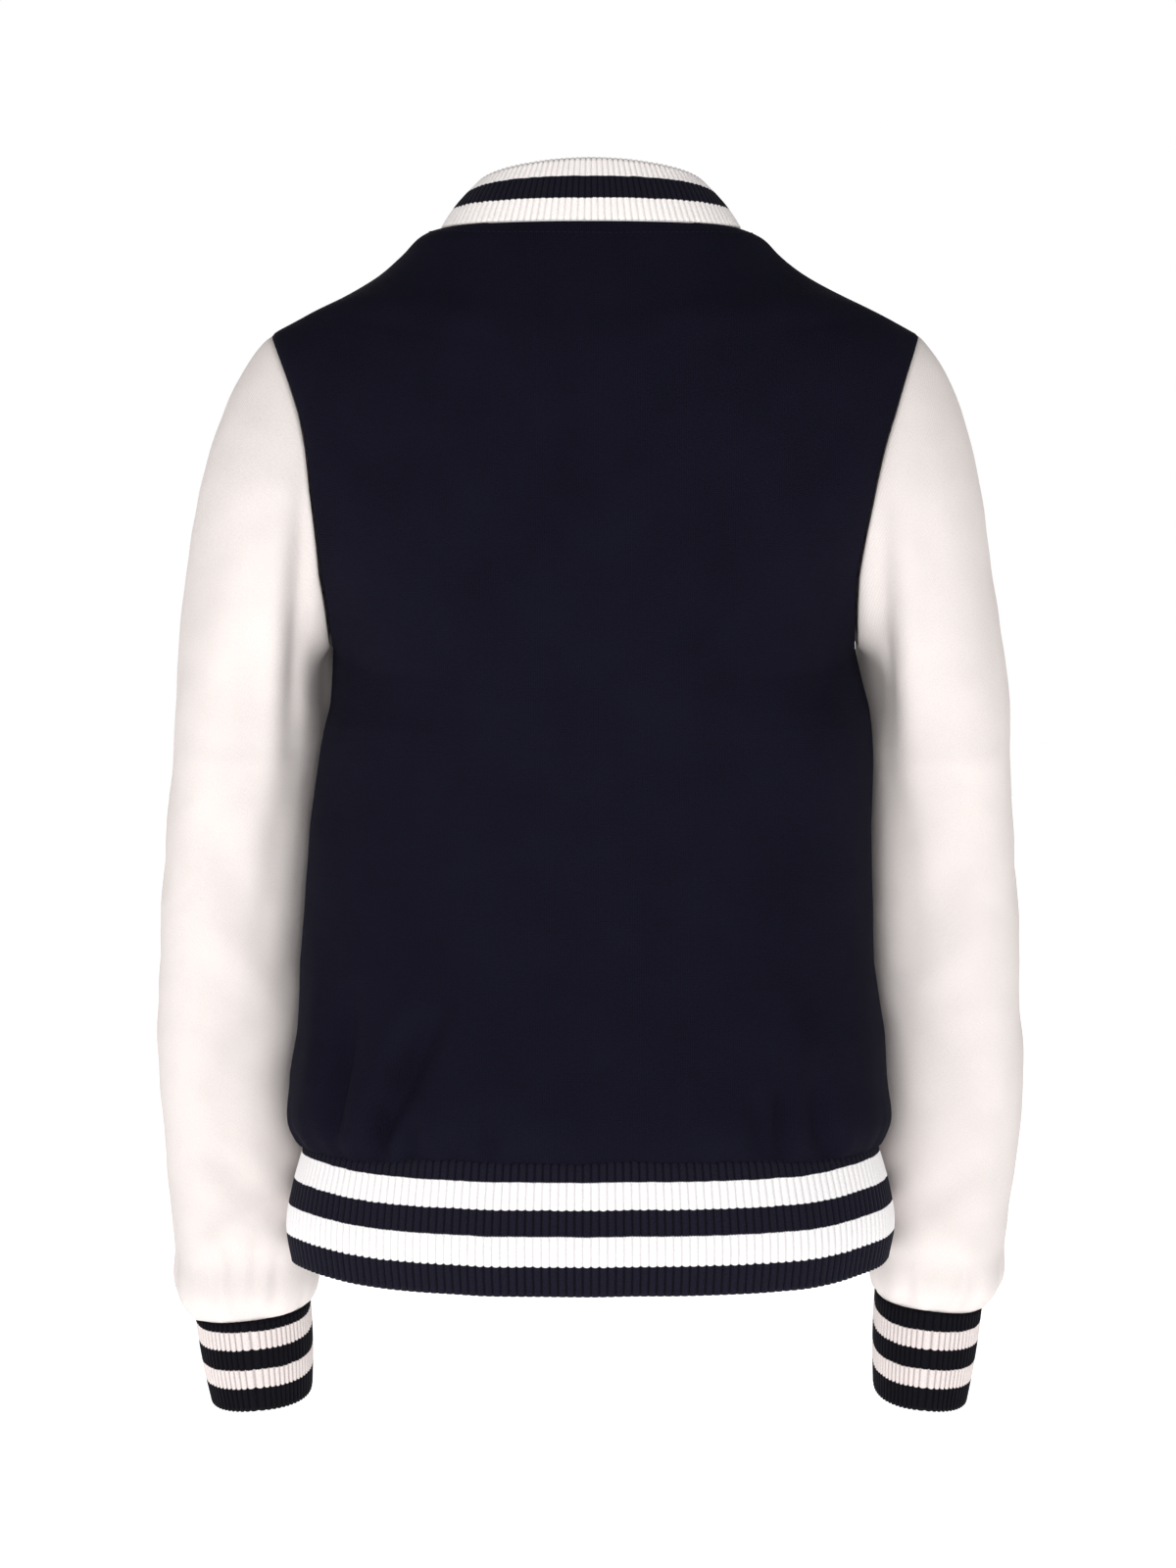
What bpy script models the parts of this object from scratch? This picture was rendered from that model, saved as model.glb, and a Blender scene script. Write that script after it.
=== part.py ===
"""Varsity jacket in the hollow form it keeps when worn, closed at the front.

World: metres, +Z up. The front of the jacket faces -Y and the wearer's left is +X.
The origin is the middle of the neck opening, level with the tops of the shoulder seams.
Every cloth piece is a grid of its outer surface, thickened inwards, and neighbouring
pieces share one seam direction so that their edges meet in a mitre with a thin gap.
"""

import math

import bpy
import numpy as np

MM = 0.001
CLOTH_WALL = 2.0 * MM
RIB_WALL = 2.2 * MM
SEAM_GAP = 0.34 * MM
MITRE_FLOOR = 0.8

SIDE_ROWS = 9
ARM_ROWS = 9
SHOULDER_ROWS = 5
BACK_COLUMNS = 20
HEM_ROWS = 3
COLLAR_ROWS = 3
CUFF_ROWS = 3
CAP_ROWS = 8
SLEEVE_ROWS = 9

LAP = 15.0
LAP_TURN = (24.0, 20.5)
LAP_CLEAR = (42.0, 28.0)
LAP_DEPTH = 2.7
BODY_POWER = 2.35
NECK_POWER = 2.0

# height: 0 hem seam, 1 underarm, 2 shoulder point, 3 neck seam; sizes in millimetres
CENTRE = np.array([
    # height, back_y, back_z, front_y, front_z
    (0.00, 110.0, -529.0, -102.0, -531.0),
    (0.06, 114.0, -514.0, -106.0, -516.0),
    (0.20, 111.0, -472.0, -106.0, -474.0),
    (0.45, 105.0, -398.0, -104.0, -402.0),
    (0.75, 105.0, -308.0, -108.0, -312.0),
    (1.00, 110.0, -258.0, -114.0, -262.0),
    (1.35, 112.0, -196.0, -113.0, -208.0),
    (1.70, 106.0, -132.0, -104.0, -158.0),
    (2.00, 95.0, -76.0, -94.0, -118.0),
    (2.40, 83.0, -43.0, -86.0, -95.0),
    (3.00, 62.0, 1.0, -72.0, -62.0),
])
ROW = np.array([
    # height, turn of a row at its edge, rise of its arch
    (0.00, 90.0, 0.0),
    (0.85, 90.0, 0.0),
    (1.00, 82.0, 0.0),
    (1.30, 62.0, 6.0),
    (1.65, 53.0, 36.0),
    (2.00, 50.0, 100.0),
    (2.45, 68.0, 45.0),
    (3.00, 90.0, 0.0),
])
SIDE = np.array([
    # height, half_width, z
    (0.00, 168.0, -534.0),
    (0.06, 175.5, -519.0),
    (0.14, 174.5, -496.0),
    (0.30, 169.0, -450.0),
    (0.47, 165.0, -400.0),
    (0.65, 162.5, -345.0),
    (0.80, 160.0, -300.0),
    (0.93, 154.5, -262.0),
    (1.00, 152.0, -242.0),
])
ARMHOLE = np.array([
    # z, back_x, front_x
    (-242.0, 152.0, 152.0),
    (-224.0, 152.0, 150.5),
    (-190.0, 155.0, 150.0),
    (-157.0, 160.0, 152.0),
    (-123.0, 166.0, 159.0),
    (-90.0, 176.0, 172.0),
    (-62.0, 187.0, 187.0),
])
ARMHOLE_MIDDLE = -152.0
ARMHOLE_HALF = 90.0
ARMHOLE_BACK = 53.0
ARMHOLE_FRONT = 47.0
SHOULDER = np.array([
    # part of the seam from the shoulder point, x, y, z
    (0.00, 187.0, 2.0, -62.0),
    (0.30, 152.0, 4.0, -45.0),
    (0.55, 124.0, 6.0, -29.0),
    (0.72, 109.5, 7.0, -17.0),
    (0.85, 100.0, 8.0, -7.5),
    (1.00, 86.0, 8.0, -1.0),
])
SLEEVE = np.array([
    # z, middle_x, middle_y, half_width, half_depth, forward_tilt
    (-300.0, 202.7, -24.0, 41.9, 56.0, 8.0),
    (-360.0, 206.5, -33.0, 44.0, 54.0, 9.0),
    (-430.0, 209.5, -43.0, 45.0, 52.0, 9.0),
    (-490.0, 212.5, -51.0, 43.5, 50.0, 10.0),
    (-545.0, 210.0, -58.0, 43.5, 48.0, 11.0),
    (-600.0, 207.0, -65.0, 42.5, 45.0, 12.0),
    (-632.0, 206.8, -69.0, 40.8, 42.0, 12.0),
    (-645.0, 204.2, -72.0, 35.2, 36.5, 12.0),
])
SLEEVE_START = np.array([
    # turn round the armhole from the shoulder point, out, back, down
    (0.0, 0.50, 0.00, -0.45),
    (90.0, 0.52, 0.10, -0.58),
    (180.0, 0.80, -0.05, -0.45),
    (270.0, 0.52, -0.12, -0.58),
    (360.0, 0.50, 0.00, -0.45),
])
CUFF_END = (-695.0, 200.7, -82.0, 32.0, 34.0, 12.0)
HEM_BAND = np.array([
    # height below the seam as a part of the band, growth of the ring
    (0.00, 0.0),
    (0.35, 3.0),
    (0.70, 4.5),
    (1.00, 4.0),
])
HEM_HEIGHT_BACK = 74.0
HEM_HEIGHT_SIDE = 63.0
COLLAR_TOP = np.array([
    # turn from the centre back, half_width share, y, z
    (0.0, 53.0, 36.7),
    (45.0, 38.0, 30.5),
    (90.0, -6.0, 21.0),
    (135.0, -50.0, -9.0),
    (180.0, -68.0, -30.0),
])
COLLAR_TOP_HALF = 67.0
COLLAR_END_GAP = 1.6

SNAP_RADIUS = 6.5
SNAP_HEIGHT = 2.6
SNAP_SIDES = 14
SNAP_CLEAR = 0.6
SNAP_LEVELS = (-92.0, -170.0, -248.0, -326.0, -404.0, -482.0)
HEM_SNAP_LEVEL = -567.0
RING_RADIUS = 5.5
RING_HOLE = 2.2
RING_HEIGHT = 1.4


def smooth(table, key, column):
    """Value of a table's column at a key, on a smooth curve through the rows."""
    keys = table[:, 0]
    values = table[:, column]
    slopes = np.gradient(values, keys)
    spot = int(np.clip(np.searchsorted(keys, key) - 1, 0, len(keys) - 2))
    width = keys[spot + 1] - keys[spot]
    part = (key - keys[spot]) / width
    squared = part * part
    cubed = squared * part
    return (
        (2 * cubed - 3 * squared + 1) * values[spot]
        + (cubed - 2 * squared + part) * width * slopes[spot]
        + (3 * squared - 2 * cubed) * values[spot + 1]
        + (cubed - squared) * width * slopes[spot + 1]
    )


def unit(vectors):
    """Vectors brought to length one."""
    return vectors / np.maximum(np.linalg.norm(vectors, axis=-1, keepdims=True), 1e-12)


def edge(height, face):
    """Where a body row ends: side seam, then armhole, then shoulder seam."""
    if height <= 1:
        return np.array((smooth(SIDE, height, 1), 0.0, smooth(SIDE, height, 2)))
    if height <= 2:
        turn = math.pi * (2 - height)
        level = ARMHOLE_MIDDLE + ARMHOLE_HALF * math.cos(turn)
        reach = ARMHOLE_BACK if face == "back" else -ARMHOLE_FRONT
        column = 1 if face == "back" else 2
        lift = SHOULDER[0, 2] * (2 - abs(turn) / math.pi * 2) / 2 if turn < math.pi else 0.0
        return np.array((smooth(ARMHOLE, level, column), reach * math.sin(turn) + max(lift, 0), level))
    part = height - 2
    return np.array([smooth(SHOULDER, part, column) for column in (1, 2, 3)])


def row_shape(height):
    """Turn of a body row at its edge, and how square the row is."""
    squared = np.interp(height, (1.0, 2.0), (BODY_POWER, NECK_POWER))
    return math.radians(min(smooth(ROW, height, 1), 90.0)), 2 / squared


def body(height, part, face):
    """Point of the body's outer surface; part runs from -1 to 1 across the row."""
    end = edge(height, face)
    turn, power = row_shape(height)
    middle_y = smooth(CENTRE, height, 1 if face == "back" else 3)
    middle_z = smooth(CENTRE, height, 2 if face == "back" else 4)
    angle = abs(part) * turn
    across = (math.sin(angle) / math.sin(turn)) ** power
    full = 1 - max(math.cos(turn), 0) ** power
    deep = (1 - max(math.cos(angle), 0) ** power) / full
    rise = abs(part) ** 2.5 if face == "back" else math.sin(abs(part) * math.pi / 2) ** 1.8
    arch = max(smooth(ROW, height, 2), 0) * part * part * (1 - abs(part))
    if face == "front":
        arch *= 0.75
    return np.array((
        math.copysign(end[0] * across, part),
        middle_y + (end[1] - middle_y) * deep,
        middle_z + (end[2] - middle_z) * rise + arch,
    ))


def part_at(height, distance):
    """Part of a front row at which it stands this far from the centre line."""
    end = edge(height, "front")
    turn, power = row_shape(height)
    share = (abs(distance) / end[0]) ** (1 / power) * math.sin(turn)
    return math.copysign(math.asin(share) / turn, distance)


def heights():
    """Heights of all body rows from the hem seam up to the neck seam."""
    side = [row / SIDE_ROWS for row in range(SIDE_ROWS)]
    side[1] = SIDE[1, 0]
    arm = [1 + row / ARM_ROWS for row in range(ARM_ROWS)]
    shoulder = [2 + row / SHOULDER_ROWS for row in range(SHOULDER_ROWS + 1)]
    return side + arm + shoulder


def back_row(height):
    """One row of the back, from the wearer's left to the right."""
    parts = np.linspace(1, -1, BACK_COLUMNS + 1)
    return [body(height, part, "back") for part in parts]


def front_row(height, under):
    """One row of a front from its side edge to its free edge past the centre line."""
    parts = list(np.linspace(1, 0.3, 8))
    clear = np.interp(height, (2.0, 3.0), LAP_CLEAR)
    turn = np.interp(height, (2.0, 3.0), LAP_TURN)
    near = (clear, turn, LAP, 0.0, -LAP / 2, -LAP)
    parts += [part_at(height, distance) for distance in near]
    row = [body(height, part, "front") for part in parts]
    if under:
        row[-5][1] += LAP_DEPTH * 0.55
        for point in row[-4:]:
            point[1] += LAP_DEPTH
    return row


def mirrored(grid):
    """The same piece on the other side of the jacket."""
    return grid[:, ::-1] * np.array((-1.0, 1.0, 1.0))


def back_grid():
    return np.array([back_row(height) for height in heights()]) * MM


def front_left_grid():
    return np.array([front_row(height, True)[::-1] for height in heights()]) * MM


def front_right_grid():
    return mirrored(np.array([front_row(height, False)[::-1] for height in heights()]) * MM)


def section(size, turns):
    """Oval ring of a sleeve, leaning forwards with the arm."""
    level, middle_x, middle_y, half_width, half_depth, tilt = size
    lean = math.radians(tilt)
    ring = []
    for turn in turns:
        deep = half_depth * math.sin(turn)
        ring.append((
            middle_x + half_width * math.cos(turn),
            middle_y + deep * math.cos(lean),
            level - deep * math.sin(lean),
        ))
    return np.array(ring)


def sleeve_left_grid():
    """Tube from the cuff seam up to the armhole, starting at the outer side."""
    back = [edge(2 - row / ARM_ROWS, "back") for row in range(ARM_ROWS)]
    front = [edge(1 + row / ARM_ROWS, "front") for row in range(ARM_ROWS)]
    armhole = np.array(back + front)
    turns = [math.pi * column / ARM_ROWS for column in range(2 * ARM_ROWS)]
    first = section(SLEEVE[0], turns)
    reach = np.linalg.norm(first - armhole, axis=1, keepdims=True)
    start = np.array([
        [smooth(SLEEVE_START, math.degrees(turn), column) for column in (1, 2, 3)]
        for turn in turns
    ])
    leave = start * reach
    arrive = np.array((0.05, 0.0, -0.95)) * reach
    rows = []
    for row in range(CAP_ROWS):
        part = row / CAP_ROWS
        rows.append(
            (2 * part**3 - 3 * part**2 + 1) * armhole
            + (part**3 - 2 * part**2 + part) * leave
            + (3 * part**2 - 2 * part**3) * first
            + (part**3 - part**2) * arrive
        )
    drop = -SLEEVE[:, 0]
    table = np.column_stack((drop, SLEEVE))
    levels = list(np.linspace(drop[0], drop[-2], SLEEVE_ROWS)) + [drop[-1]]
    for level in levels:
        rows.append(section([smooth(table, level, column) for column in range(1, 7)], turns))
    return np.array(rows[::-1]) * MM


def cuff_left_grid():
    """Short tube from the cuff's open end up to the sleeve."""
    turns = [math.pi * column / ARM_ROWS for column in range(2 * ARM_ROWS)]
    top = section(SLEEVE[-1], turns)
    end = section(CUFF_END, turns)
    parts = np.linspace(1, 0, CUFF_ROWS + 1)
    return np.array([top + (end - top) * part for part in parts]) * MM


def hem_band_grid():
    """Rib band from the under front's free edge round the back to the over front's."""
    left = front_row(0.0, True)[::-1]
    back = back_row(0.0)[1:-1]
    right = [point * np.array((-1.0, 1.0, 1.0)) for point in front_row(0.0, False)]
    top = np.array(left + back + right)
    middle = np.array((0.0, 4.0, 0.0))
    away = unit((top - middle) * np.array((1.0, 1.0, 0.0)))
    sideways = np.abs(away[:, 0]) ** 3
    height = HEM_HEIGHT_BACK + (HEM_HEIGHT_SIDE - HEM_HEIGHT_BACK) * sideways
    rows = []
    for part, growth in HEM_BAND[::-1]:
        row = top + away * growth
        row[:, 2] -= height * part
        rows.append(row)
    return np.array(rows) * MM


def collar_grid():
    """Stand collar from the left front's centre line round the neck to the right's."""
    left = front_row(3.0, True)[:12][::-1]
    back = back_row(3.0)[1:-1]
    right = [point * np.array((-1.0, 1.0, 1.0)) for point in front_row(3.0, False)[:12]]
    base = np.array(left + back + right)
    count = len(left)
    turns = []
    for spot, point in enumerate(base):
        if spot < count:
            turns.append(180 - 90 * spot / (count - 1))
        elif spot < count + len(back):
            turns.append(90 - 180 * (spot - count + 1) / (len(back) + 1))
        else:
            turns.append(-90 - 90 * (spot - count - len(back)) / (count - 1))
    top = []
    for turn, point in zip(turns, base):
        share = abs(point[0]) / SHOULDER[-1, 1]
        side = math.copysign(COLLAR_TOP_HALF * share, turn)
        top.append((side, smooth(COLLAR_TOP, abs(turn), 1), smooth(COLLAR_TOP, abs(turn), 2)))
    top = np.array(top)
    rows = []
    for row in range(COLLAR_ROWS + 1):
        part = row / COLLAR_ROWS
        rows.append(base + (top - base) * part)
    grid = np.array(rows)
    for column, side in ((0, 1), (-1, -1)):
        grid[1:, column, 0] = side * COLLAR_END_GAP
    return grid * MM


def grid_normals(grid, wraps):
    """Outward direction at every point of a grid."""
    wide = np.concatenate((grid, grid[:, :1]), axis=1) if wraps else grid
    first = wide[1:, 1:] - wide[:-1, :-1]
    second = wide[1:, :-1] - wide[:-1, 1:]
    face = np.cross(first, second)
    total = np.zeros_like(wide)
    for rows in (slice(0, -1), slice(1, None)):
        for columns in (slice(0, -1), slice(1, None)):
            total[rows, columns] += face
    if wraps:
        total[:, 0] += total[:, -1]
        total = total[:, :-1]
    return unit(total)


def edge_loops(rows, columns, wraps):
    """Closed edge loops of a grid, each with the piece on its left."""
    if wraps:
        bottom = [(0, column) for column in range(columns)]
        top = [(rows - 1, column) for column in reversed(range(columns))]
        return [bottom, top]
    loop = [(0, column) for column in range(columns)]
    loop += [(row, columns - 1) for row in range(1, rows)]
    loop += [(rows - 1, column) for column in reversed(range(columns - 1))]
    loop += [(row, 0) for row in reversed(range(1, rows - 1))]
    return [loop]


def seam_key(point):
    return tuple(int(round(value / (0.02 * MM))) for value in point)


def shared_normals(pieces):
    """Directions at shared seam points, averaged over the pieces that meet there."""
    own = {name: grid_normals(grid, wraps) for name, (grid, wraps, wall) in pieces.items()}
    meeting = {}
    for name, (grid, wraps, wall) in pieces.items():
        for loop in edge_loops(grid.shape[0], grid.shape[1], wraps):
            for spot in loop:
                meeting.setdefault(seam_key(grid[spot]), []).append((name, spot))
    common = {name: normals.copy() for name, normals in own.items()}
    deepen = {name: np.ones(normals.shape[:2]) for name, normals in own.items()}
    for places in meeting.values():
        directions = np.array([own[name][spot] for name, spot in places])
        mean = unit(directions.sum(axis=0))
        reach = 1 / max(float((directions @ mean).mean()), MITRE_FLOOR)
        for name, spot in places:
            common[name][spot] = mean
            deepen[name][spot] = reach
    return common, deepen


def drawn_back(grid, normals, wraps):
    """Shift of the edge points that leaves half a seam gap on this side."""
    shift = np.zeros_like(grid)
    for loop in edge_loops(grid.shape[0], grid.shape[1], wraps):
        spots = tuple(np.array(loop).T)
        points = grid[spots]
        coming = unit(points - np.roll(points, 1, axis=0))
        going = unit(np.roll(points, -1, axis=0) - points)
        inward = unit(np.cross(normals[spots], unit(coming + going)))
        bend = np.sqrt(np.maximum((1 + (coming * going).sum(axis=1)) / 2, 0.16))
        shift[spots] = inward * (SEAM_GAP / 2 / bend)[:, None]
    return shift


def split(vertices, a, b, c, d):
    """Two triangles of a four-sided face, parted along its shorter diagonal."""
    if np.linalg.norm(vertices[b] - vertices[d]) < np.linalg.norm(vertices[a] - vertices[c]):
        return [(a, b, d), (b, c, d)]
    return [(a, b, c), (a, c, d)]


def walled(grid, normals, deepen, wall, wraps):
    """Vertices and triangles of a grid thickened inwards into one closed piece."""
    shift = drawn_back(grid, normals, wraps)
    outer = grid + shift
    inner = outer - normals * (wall * deepen)[:, :, None]
    rows, columns = grid.shape[:2]
    count = rows * columns
    vertices = np.concatenate((outer.reshape(-1, 3), inner.reshape(-1, 3)))
    triangles = []
    for row in range(rows - 1):
        for column in range(columns if wraps else columns - 1):
            after = (column + 1) % columns
            a = row * columns + column
            b = row * columns + after
            c = (row + 1) * columns + after
            d = (row + 1) * columns + column
            for first, second, third in split(vertices, a, b, c, d):
                triangles.append((first, second, third))
                triangles.append((first + count, third + count, second + count))
    for loop in edge_loops(rows, columns, wraps):
        for here, there in zip(loop, loop[1:] + loop[:1]):
            a = here[0] * columns + here[1]
            b = there[0] * columns + there[1]
            triangles += split(vertices, b, a, a + count, b + count)
    return vertices, triangles


def turned(profile, middle, axis, sides):
    """Closed round piece; profile rows are radius and height along the axis."""
    axis = unit(np.array(axis))
    across = unit(np.cross(axis, np.array((1.0, 0.0, 0.0))))
    along = np.cross(axis, across)
    vertices = []
    for radius, height in profile:
        for side in range(sides):
            turn = 2 * math.pi * side / sides
            spoke = across * math.cos(turn) + along * math.sin(turn)
            vertices.append(middle + (spoke * radius + axis * height) * MM)
    return vertices


def snap_cap(middle, axis):
    """Low domed cap that lies on the outer face."""
    radius = SNAP_RADIUS
    profile = (
        (radius * 0.96, 0.0),
        (radius, 0.7),
        (radius * 0.86, SNAP_HEIGHT * 0.72),
        (radius * 0.45, SNAP_HEIGHT * 0.96),
    )
    vertices = turned(profile, middle, axis, SNAP_SIDES)
    triangles = bands(len(profile), False)
    last = (len(profile) - 1) * SNAP_SIDES
    for side in range(1, SNAP_SIDES - 1):
        triangles.append((0, side + 1, side))
        triangles.append((last, last + side, last + side + 1))
    return vertices, triangles


def snap_ring(middle, axis):
    """Flat pronged ring that lies on the inner face."""
    profile = (
        (RING_HOLE, 0.0),
        (RING_RADIUS, 0.0),
        (RING_RADIUS, RING_HEIGHT * 0.5),
        (RING_RADIUS * 0.8, RING_HEIGHT),
        (RING_HOLE, RING_HEIGHT),
    )
    return turned(profile, middle, axis, SNAP_SIDES), bands(len(profile), True)


def seated(name, column, level):
    """Point and outward direction on a piece's column at a level in millimetres."""
    grid = PIECES[name][0][:, column]
    normals = NORMALS[name][:, column]
    levels = grid[:, 2] / MM
    point = np.array([np.interp(level, levels, grid[:, axis]) for axis in range(3)])
    outward = np.array([np.interp(level, levels, normals[:, axis]) for axis in range(3)])
    return point, unit(outward)


def bands(rings, closes):
    """Triangles between the rings of a turned piece."""
    triangles = []
    for ring in range(rings if closes else rings - 1):
        upper = (ring + 1) % rings
        for side in range(SNAP_SIDES):
            after = (side + 1) % SNAP_SIDES
            a = ring * SNAP_SIDES + side
            b = ring * SNAP_SIDES + after
            c = upper * SNAP_SIDES + after
            d = upper * SNAP_SIDES + side
            triangles += [(a, b, c), (a, c, d)]
    return triangles


def material(name, colour, roughness, metallic):
    """Plain surface of one colour."""
    made = bpy.data.materials.new(name)
    made.use_nodes = True
    shader = made.node_tree.nodes["Principled BSDF"]
    shader.inputs["Base Color"].default_value = colour
    shader.inputs["Roughness"].default_value = roughness
    shader.inputs["Metallic"].default_value = metallic
    made.diffuse_color = colour
    return made


def add(name, vertices, triangles, surface):
    """One named object from its vertices and triangles."""
    mesh = bpy.data.meshes.new(name)
    mesh.from_pydata([tuple(point) for point in vertices], [], triangles)
    mesh.materials.append(surface)
    for polygon in mesh.polygons:
        polygon.use_smooth = True
    mesh.update()
    piece = bpy.data.objects.new(name, mesh)
    bpy.context.scene.collection.objects.link(piece)
    return piece


for stale in list(bpy.data.objects):
    bpy.data.objects.remove(stale, do_unlink=True)

NAVY = material("navy_fleece", (0.008, 0.008, 0.017, 1), 0.9, 0.0)
CREAM = material("cream_fleece", (0.88, 0.83, 0.80, 1), 0.85, 0.0)
RIB = material("striped_rib", (0.012, 0.011, 0.022, 1), 0.92, 0.0)
METAL = material("snap_metal", (0.62, 0.61, 0.60, 1), 0.3, 1.0)

sleeve_left = sleeve_left_grid()
cuff_left = cuff_left_grid()
PIECES = {
    "back": (back_grid(), False, CLOTH_WALL),
    "front_left": (front_left_grid(), False, CLOTH_WALL),
    "front_right": (front_right_grid(), False, CLOTH_WALL),
    "sleeve_left": (sleeve_left, True, CLOTH_WALL),
    "sleeve_right": (mirrored(sleeve_left), True, CLOTH_WALL),
    "cuff_left": (cuff_left, True, RIB_WALL),
    "cuff_right": (mirrored(cuff_left), True, RIB_WALL),
    "hem_band": (hem_band_grid(), False, RIB_WALL),
    "collar": (collar_grid(), False, RIB_WALL),
}
SURFACES = {
    "back": NAVY,
    "front_left": NAVY,
    "front_right": NAVY,
    "sleeve_left": CREAM,
    "sleeve_right": CREAM,
    "cuff_left": RIB,
    "cuff_right": RIB,
    "hem_band": RIB,
    "collar": RIB,
}
NORMALS, DEEPEN = shared_normals(PIECES)
for name, (grid, wraps, wall) in PIECES.items():
    vertices, triangles = walled(grid, NORMALS[name], DEEPEN[name], wall, wraps)
    add(name, vertices, triangles, SURFACES[name])

for number, level in enumerate(SNAP_LEVELS + (HEM_SNAP_LEVEL,), start=1):
    over, under = ("front_right", "front_left") if level > HEM_SNAP_LEVEL else ("hem_band",) * 2
    seat, outward = seated(over, -3, level)
    add(f"snap_cap_{number}", *snap_cap(seat + outward * SNAP_CLEAR * MM, outward), METAL)
    seat, outward = seated(under, 2, level)
    depth = PIECES[under][2] + SNAP_CLEAR * MM
    add(f"snap_ring_{number}", *snap_ring(seat - outward * depth, -outward), METAL)
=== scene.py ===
"""Varsity jacket seen from behind, in the hollow form it keeps when worn.

The sections follow the jacket as it is sewn: the back, the two fronts, the sleeves, the rib
cuffs, hem band and collar, then the stitching and the snaps. Lengths are in metres.
"""

import math

import bpy
import numpy as np
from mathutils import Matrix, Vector, noise


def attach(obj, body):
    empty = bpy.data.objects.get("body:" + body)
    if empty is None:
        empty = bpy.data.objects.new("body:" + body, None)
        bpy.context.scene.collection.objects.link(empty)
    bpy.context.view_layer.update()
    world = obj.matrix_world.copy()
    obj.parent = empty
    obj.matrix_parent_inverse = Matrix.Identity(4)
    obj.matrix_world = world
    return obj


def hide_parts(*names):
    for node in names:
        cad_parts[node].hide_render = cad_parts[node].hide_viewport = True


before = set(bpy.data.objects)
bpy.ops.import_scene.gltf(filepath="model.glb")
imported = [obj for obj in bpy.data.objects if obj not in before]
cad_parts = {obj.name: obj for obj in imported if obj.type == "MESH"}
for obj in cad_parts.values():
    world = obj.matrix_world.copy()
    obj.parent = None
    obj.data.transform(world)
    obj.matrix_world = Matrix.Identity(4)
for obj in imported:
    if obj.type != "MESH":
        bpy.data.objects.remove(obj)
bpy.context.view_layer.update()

# ---------------------------------------------------------------------------
# Camera, floor and light
# A level studio view of the back from chest height, on a long lens. A plain white floor
# lies far below the hanging hem, and large soft lights stand round the jacket.
# ---------------------------------------------------------------------------

MM = 0.001
VIEW_TARGET = Vector((1.7, 0.0, -322.0)) * MM
VIEW_DISTANCE = 2.7
VIEW_RAISE = math.radians(4.0)
LONG_SIDE = 0.912
SENSOR_WIDTH = 36.0
FLOOR_LEVEL = -1.42
FLOOR_SIZE = 30.0
FLOOR_GLOW = 0.85
AIR_LIGHT = 0.40


def linear(code):
    """Linear colour of an sRGB hex code."""
    shares = [int(code[spot:spot + 2], 16) / 255 for spot in (1, 3, 5)]
    light = [s / 12.92 if s < 0.04045 else ((s + 0.055) / 1.055) ** 2.4 for s in shares]
    return tuple(light) + (1.0,)


def node(tree, kind, values=(), links=(), **properties):
    """Adds a node with its properties, its input values and its incoming links."""
    made = tree.nodes.new(kind)
    for name, value in properties.items():
        setattr(made, name, value)
    for name, value in dict(values).items():
        made.inputs[name].default_value = value
    for name, source in dict(links).items():
        tree.links.new(source, made.inputs[name])
    return made


def ramp(tree, source, low, high, start=0.0, stop=1.0):
    """Colour ramp between two sRGB hex codes, driven by a source from start to stop."""
    made = node(tree, "ShaderNodeValToRGB", links={"Fac": source})
    for element, code, spot in zip(made.color_ramp.elements, (low, high), (start, stop)):
        element.color = linear(code)
        element.position = spot
    return made


def arithmetic(tree, operation, *terms):
    """Math node's result; each term is a number or the output that it comes from."""
    made = node(tree, "ShaderNodeMath", operation=operation)
    for spot, term in enumerate(terms):
        if isinstance(term, float):
            made.inputs[spot].default_value = term
        else:
            tree.links.new(term, made.inputs[spot])
    return made.outputs["Value"]


def shown(tree, shader):
    """Ends a material with its shader."""
    node(tree, "ShaderNodeOutputMaterial", links={"Surface": shader.outputs["BSDF"]})


def new_material(name):
    """Empty material and its tree, ready for a pattern and a shader."""
    made = bpy.data.materials.new(name)
    made.use_nodes = True
    made.node_tree.nodes.clear()
    return made, made.node_tree


camera_data = bpy.data.cameras.new("studio_camera")
camera_data.sensor_width = SENSOR_WIDTH
camera_data.lens = SENSOR_WIDTH * VIEW_DISTANCE / LONG_SIDE
camera_data.clip_end = 60.0
camera = bpy.data.objects.new("studio_camera", camera_data)
bpy.context.scene.collection.objects.link(camera)
toward_camera = Vector((0.0, math.cos(VIEW_RAISE), math.sin(VIEW_RAISE)))
camera.location = VIEW_TARGET + toward_camera * VIEW_DISTANCE
camera.rotation_euler = (-toward_camera).to_track_quat("-Z", "Y").to_euler()
bpy.context.scene.camera = camera
bpy.context.scene.view_settings.view_transform = "Standard"

world = bpy.data.worlds.new("studio_air")
world.use_nodes = True
tree = world.node_tree
air = tree.nodes["Background"]
air.inputs["Color"].default_value = (1.0, 1.0, 1.0, 1.0)
seen = node(tree, "ShaderNodeLightPath")
strength = node(
    tree, "ShaderNodeMapRange",
    {"To Min": AIR_LIGHT, "To Max": 1.0},
    {"Value": seen.outputs["Is Camera Ray"]},
)
tree.links.new(strength.outputs["Result"], air.inputs["Strength"])
bpy.context.scene.world = world

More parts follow.
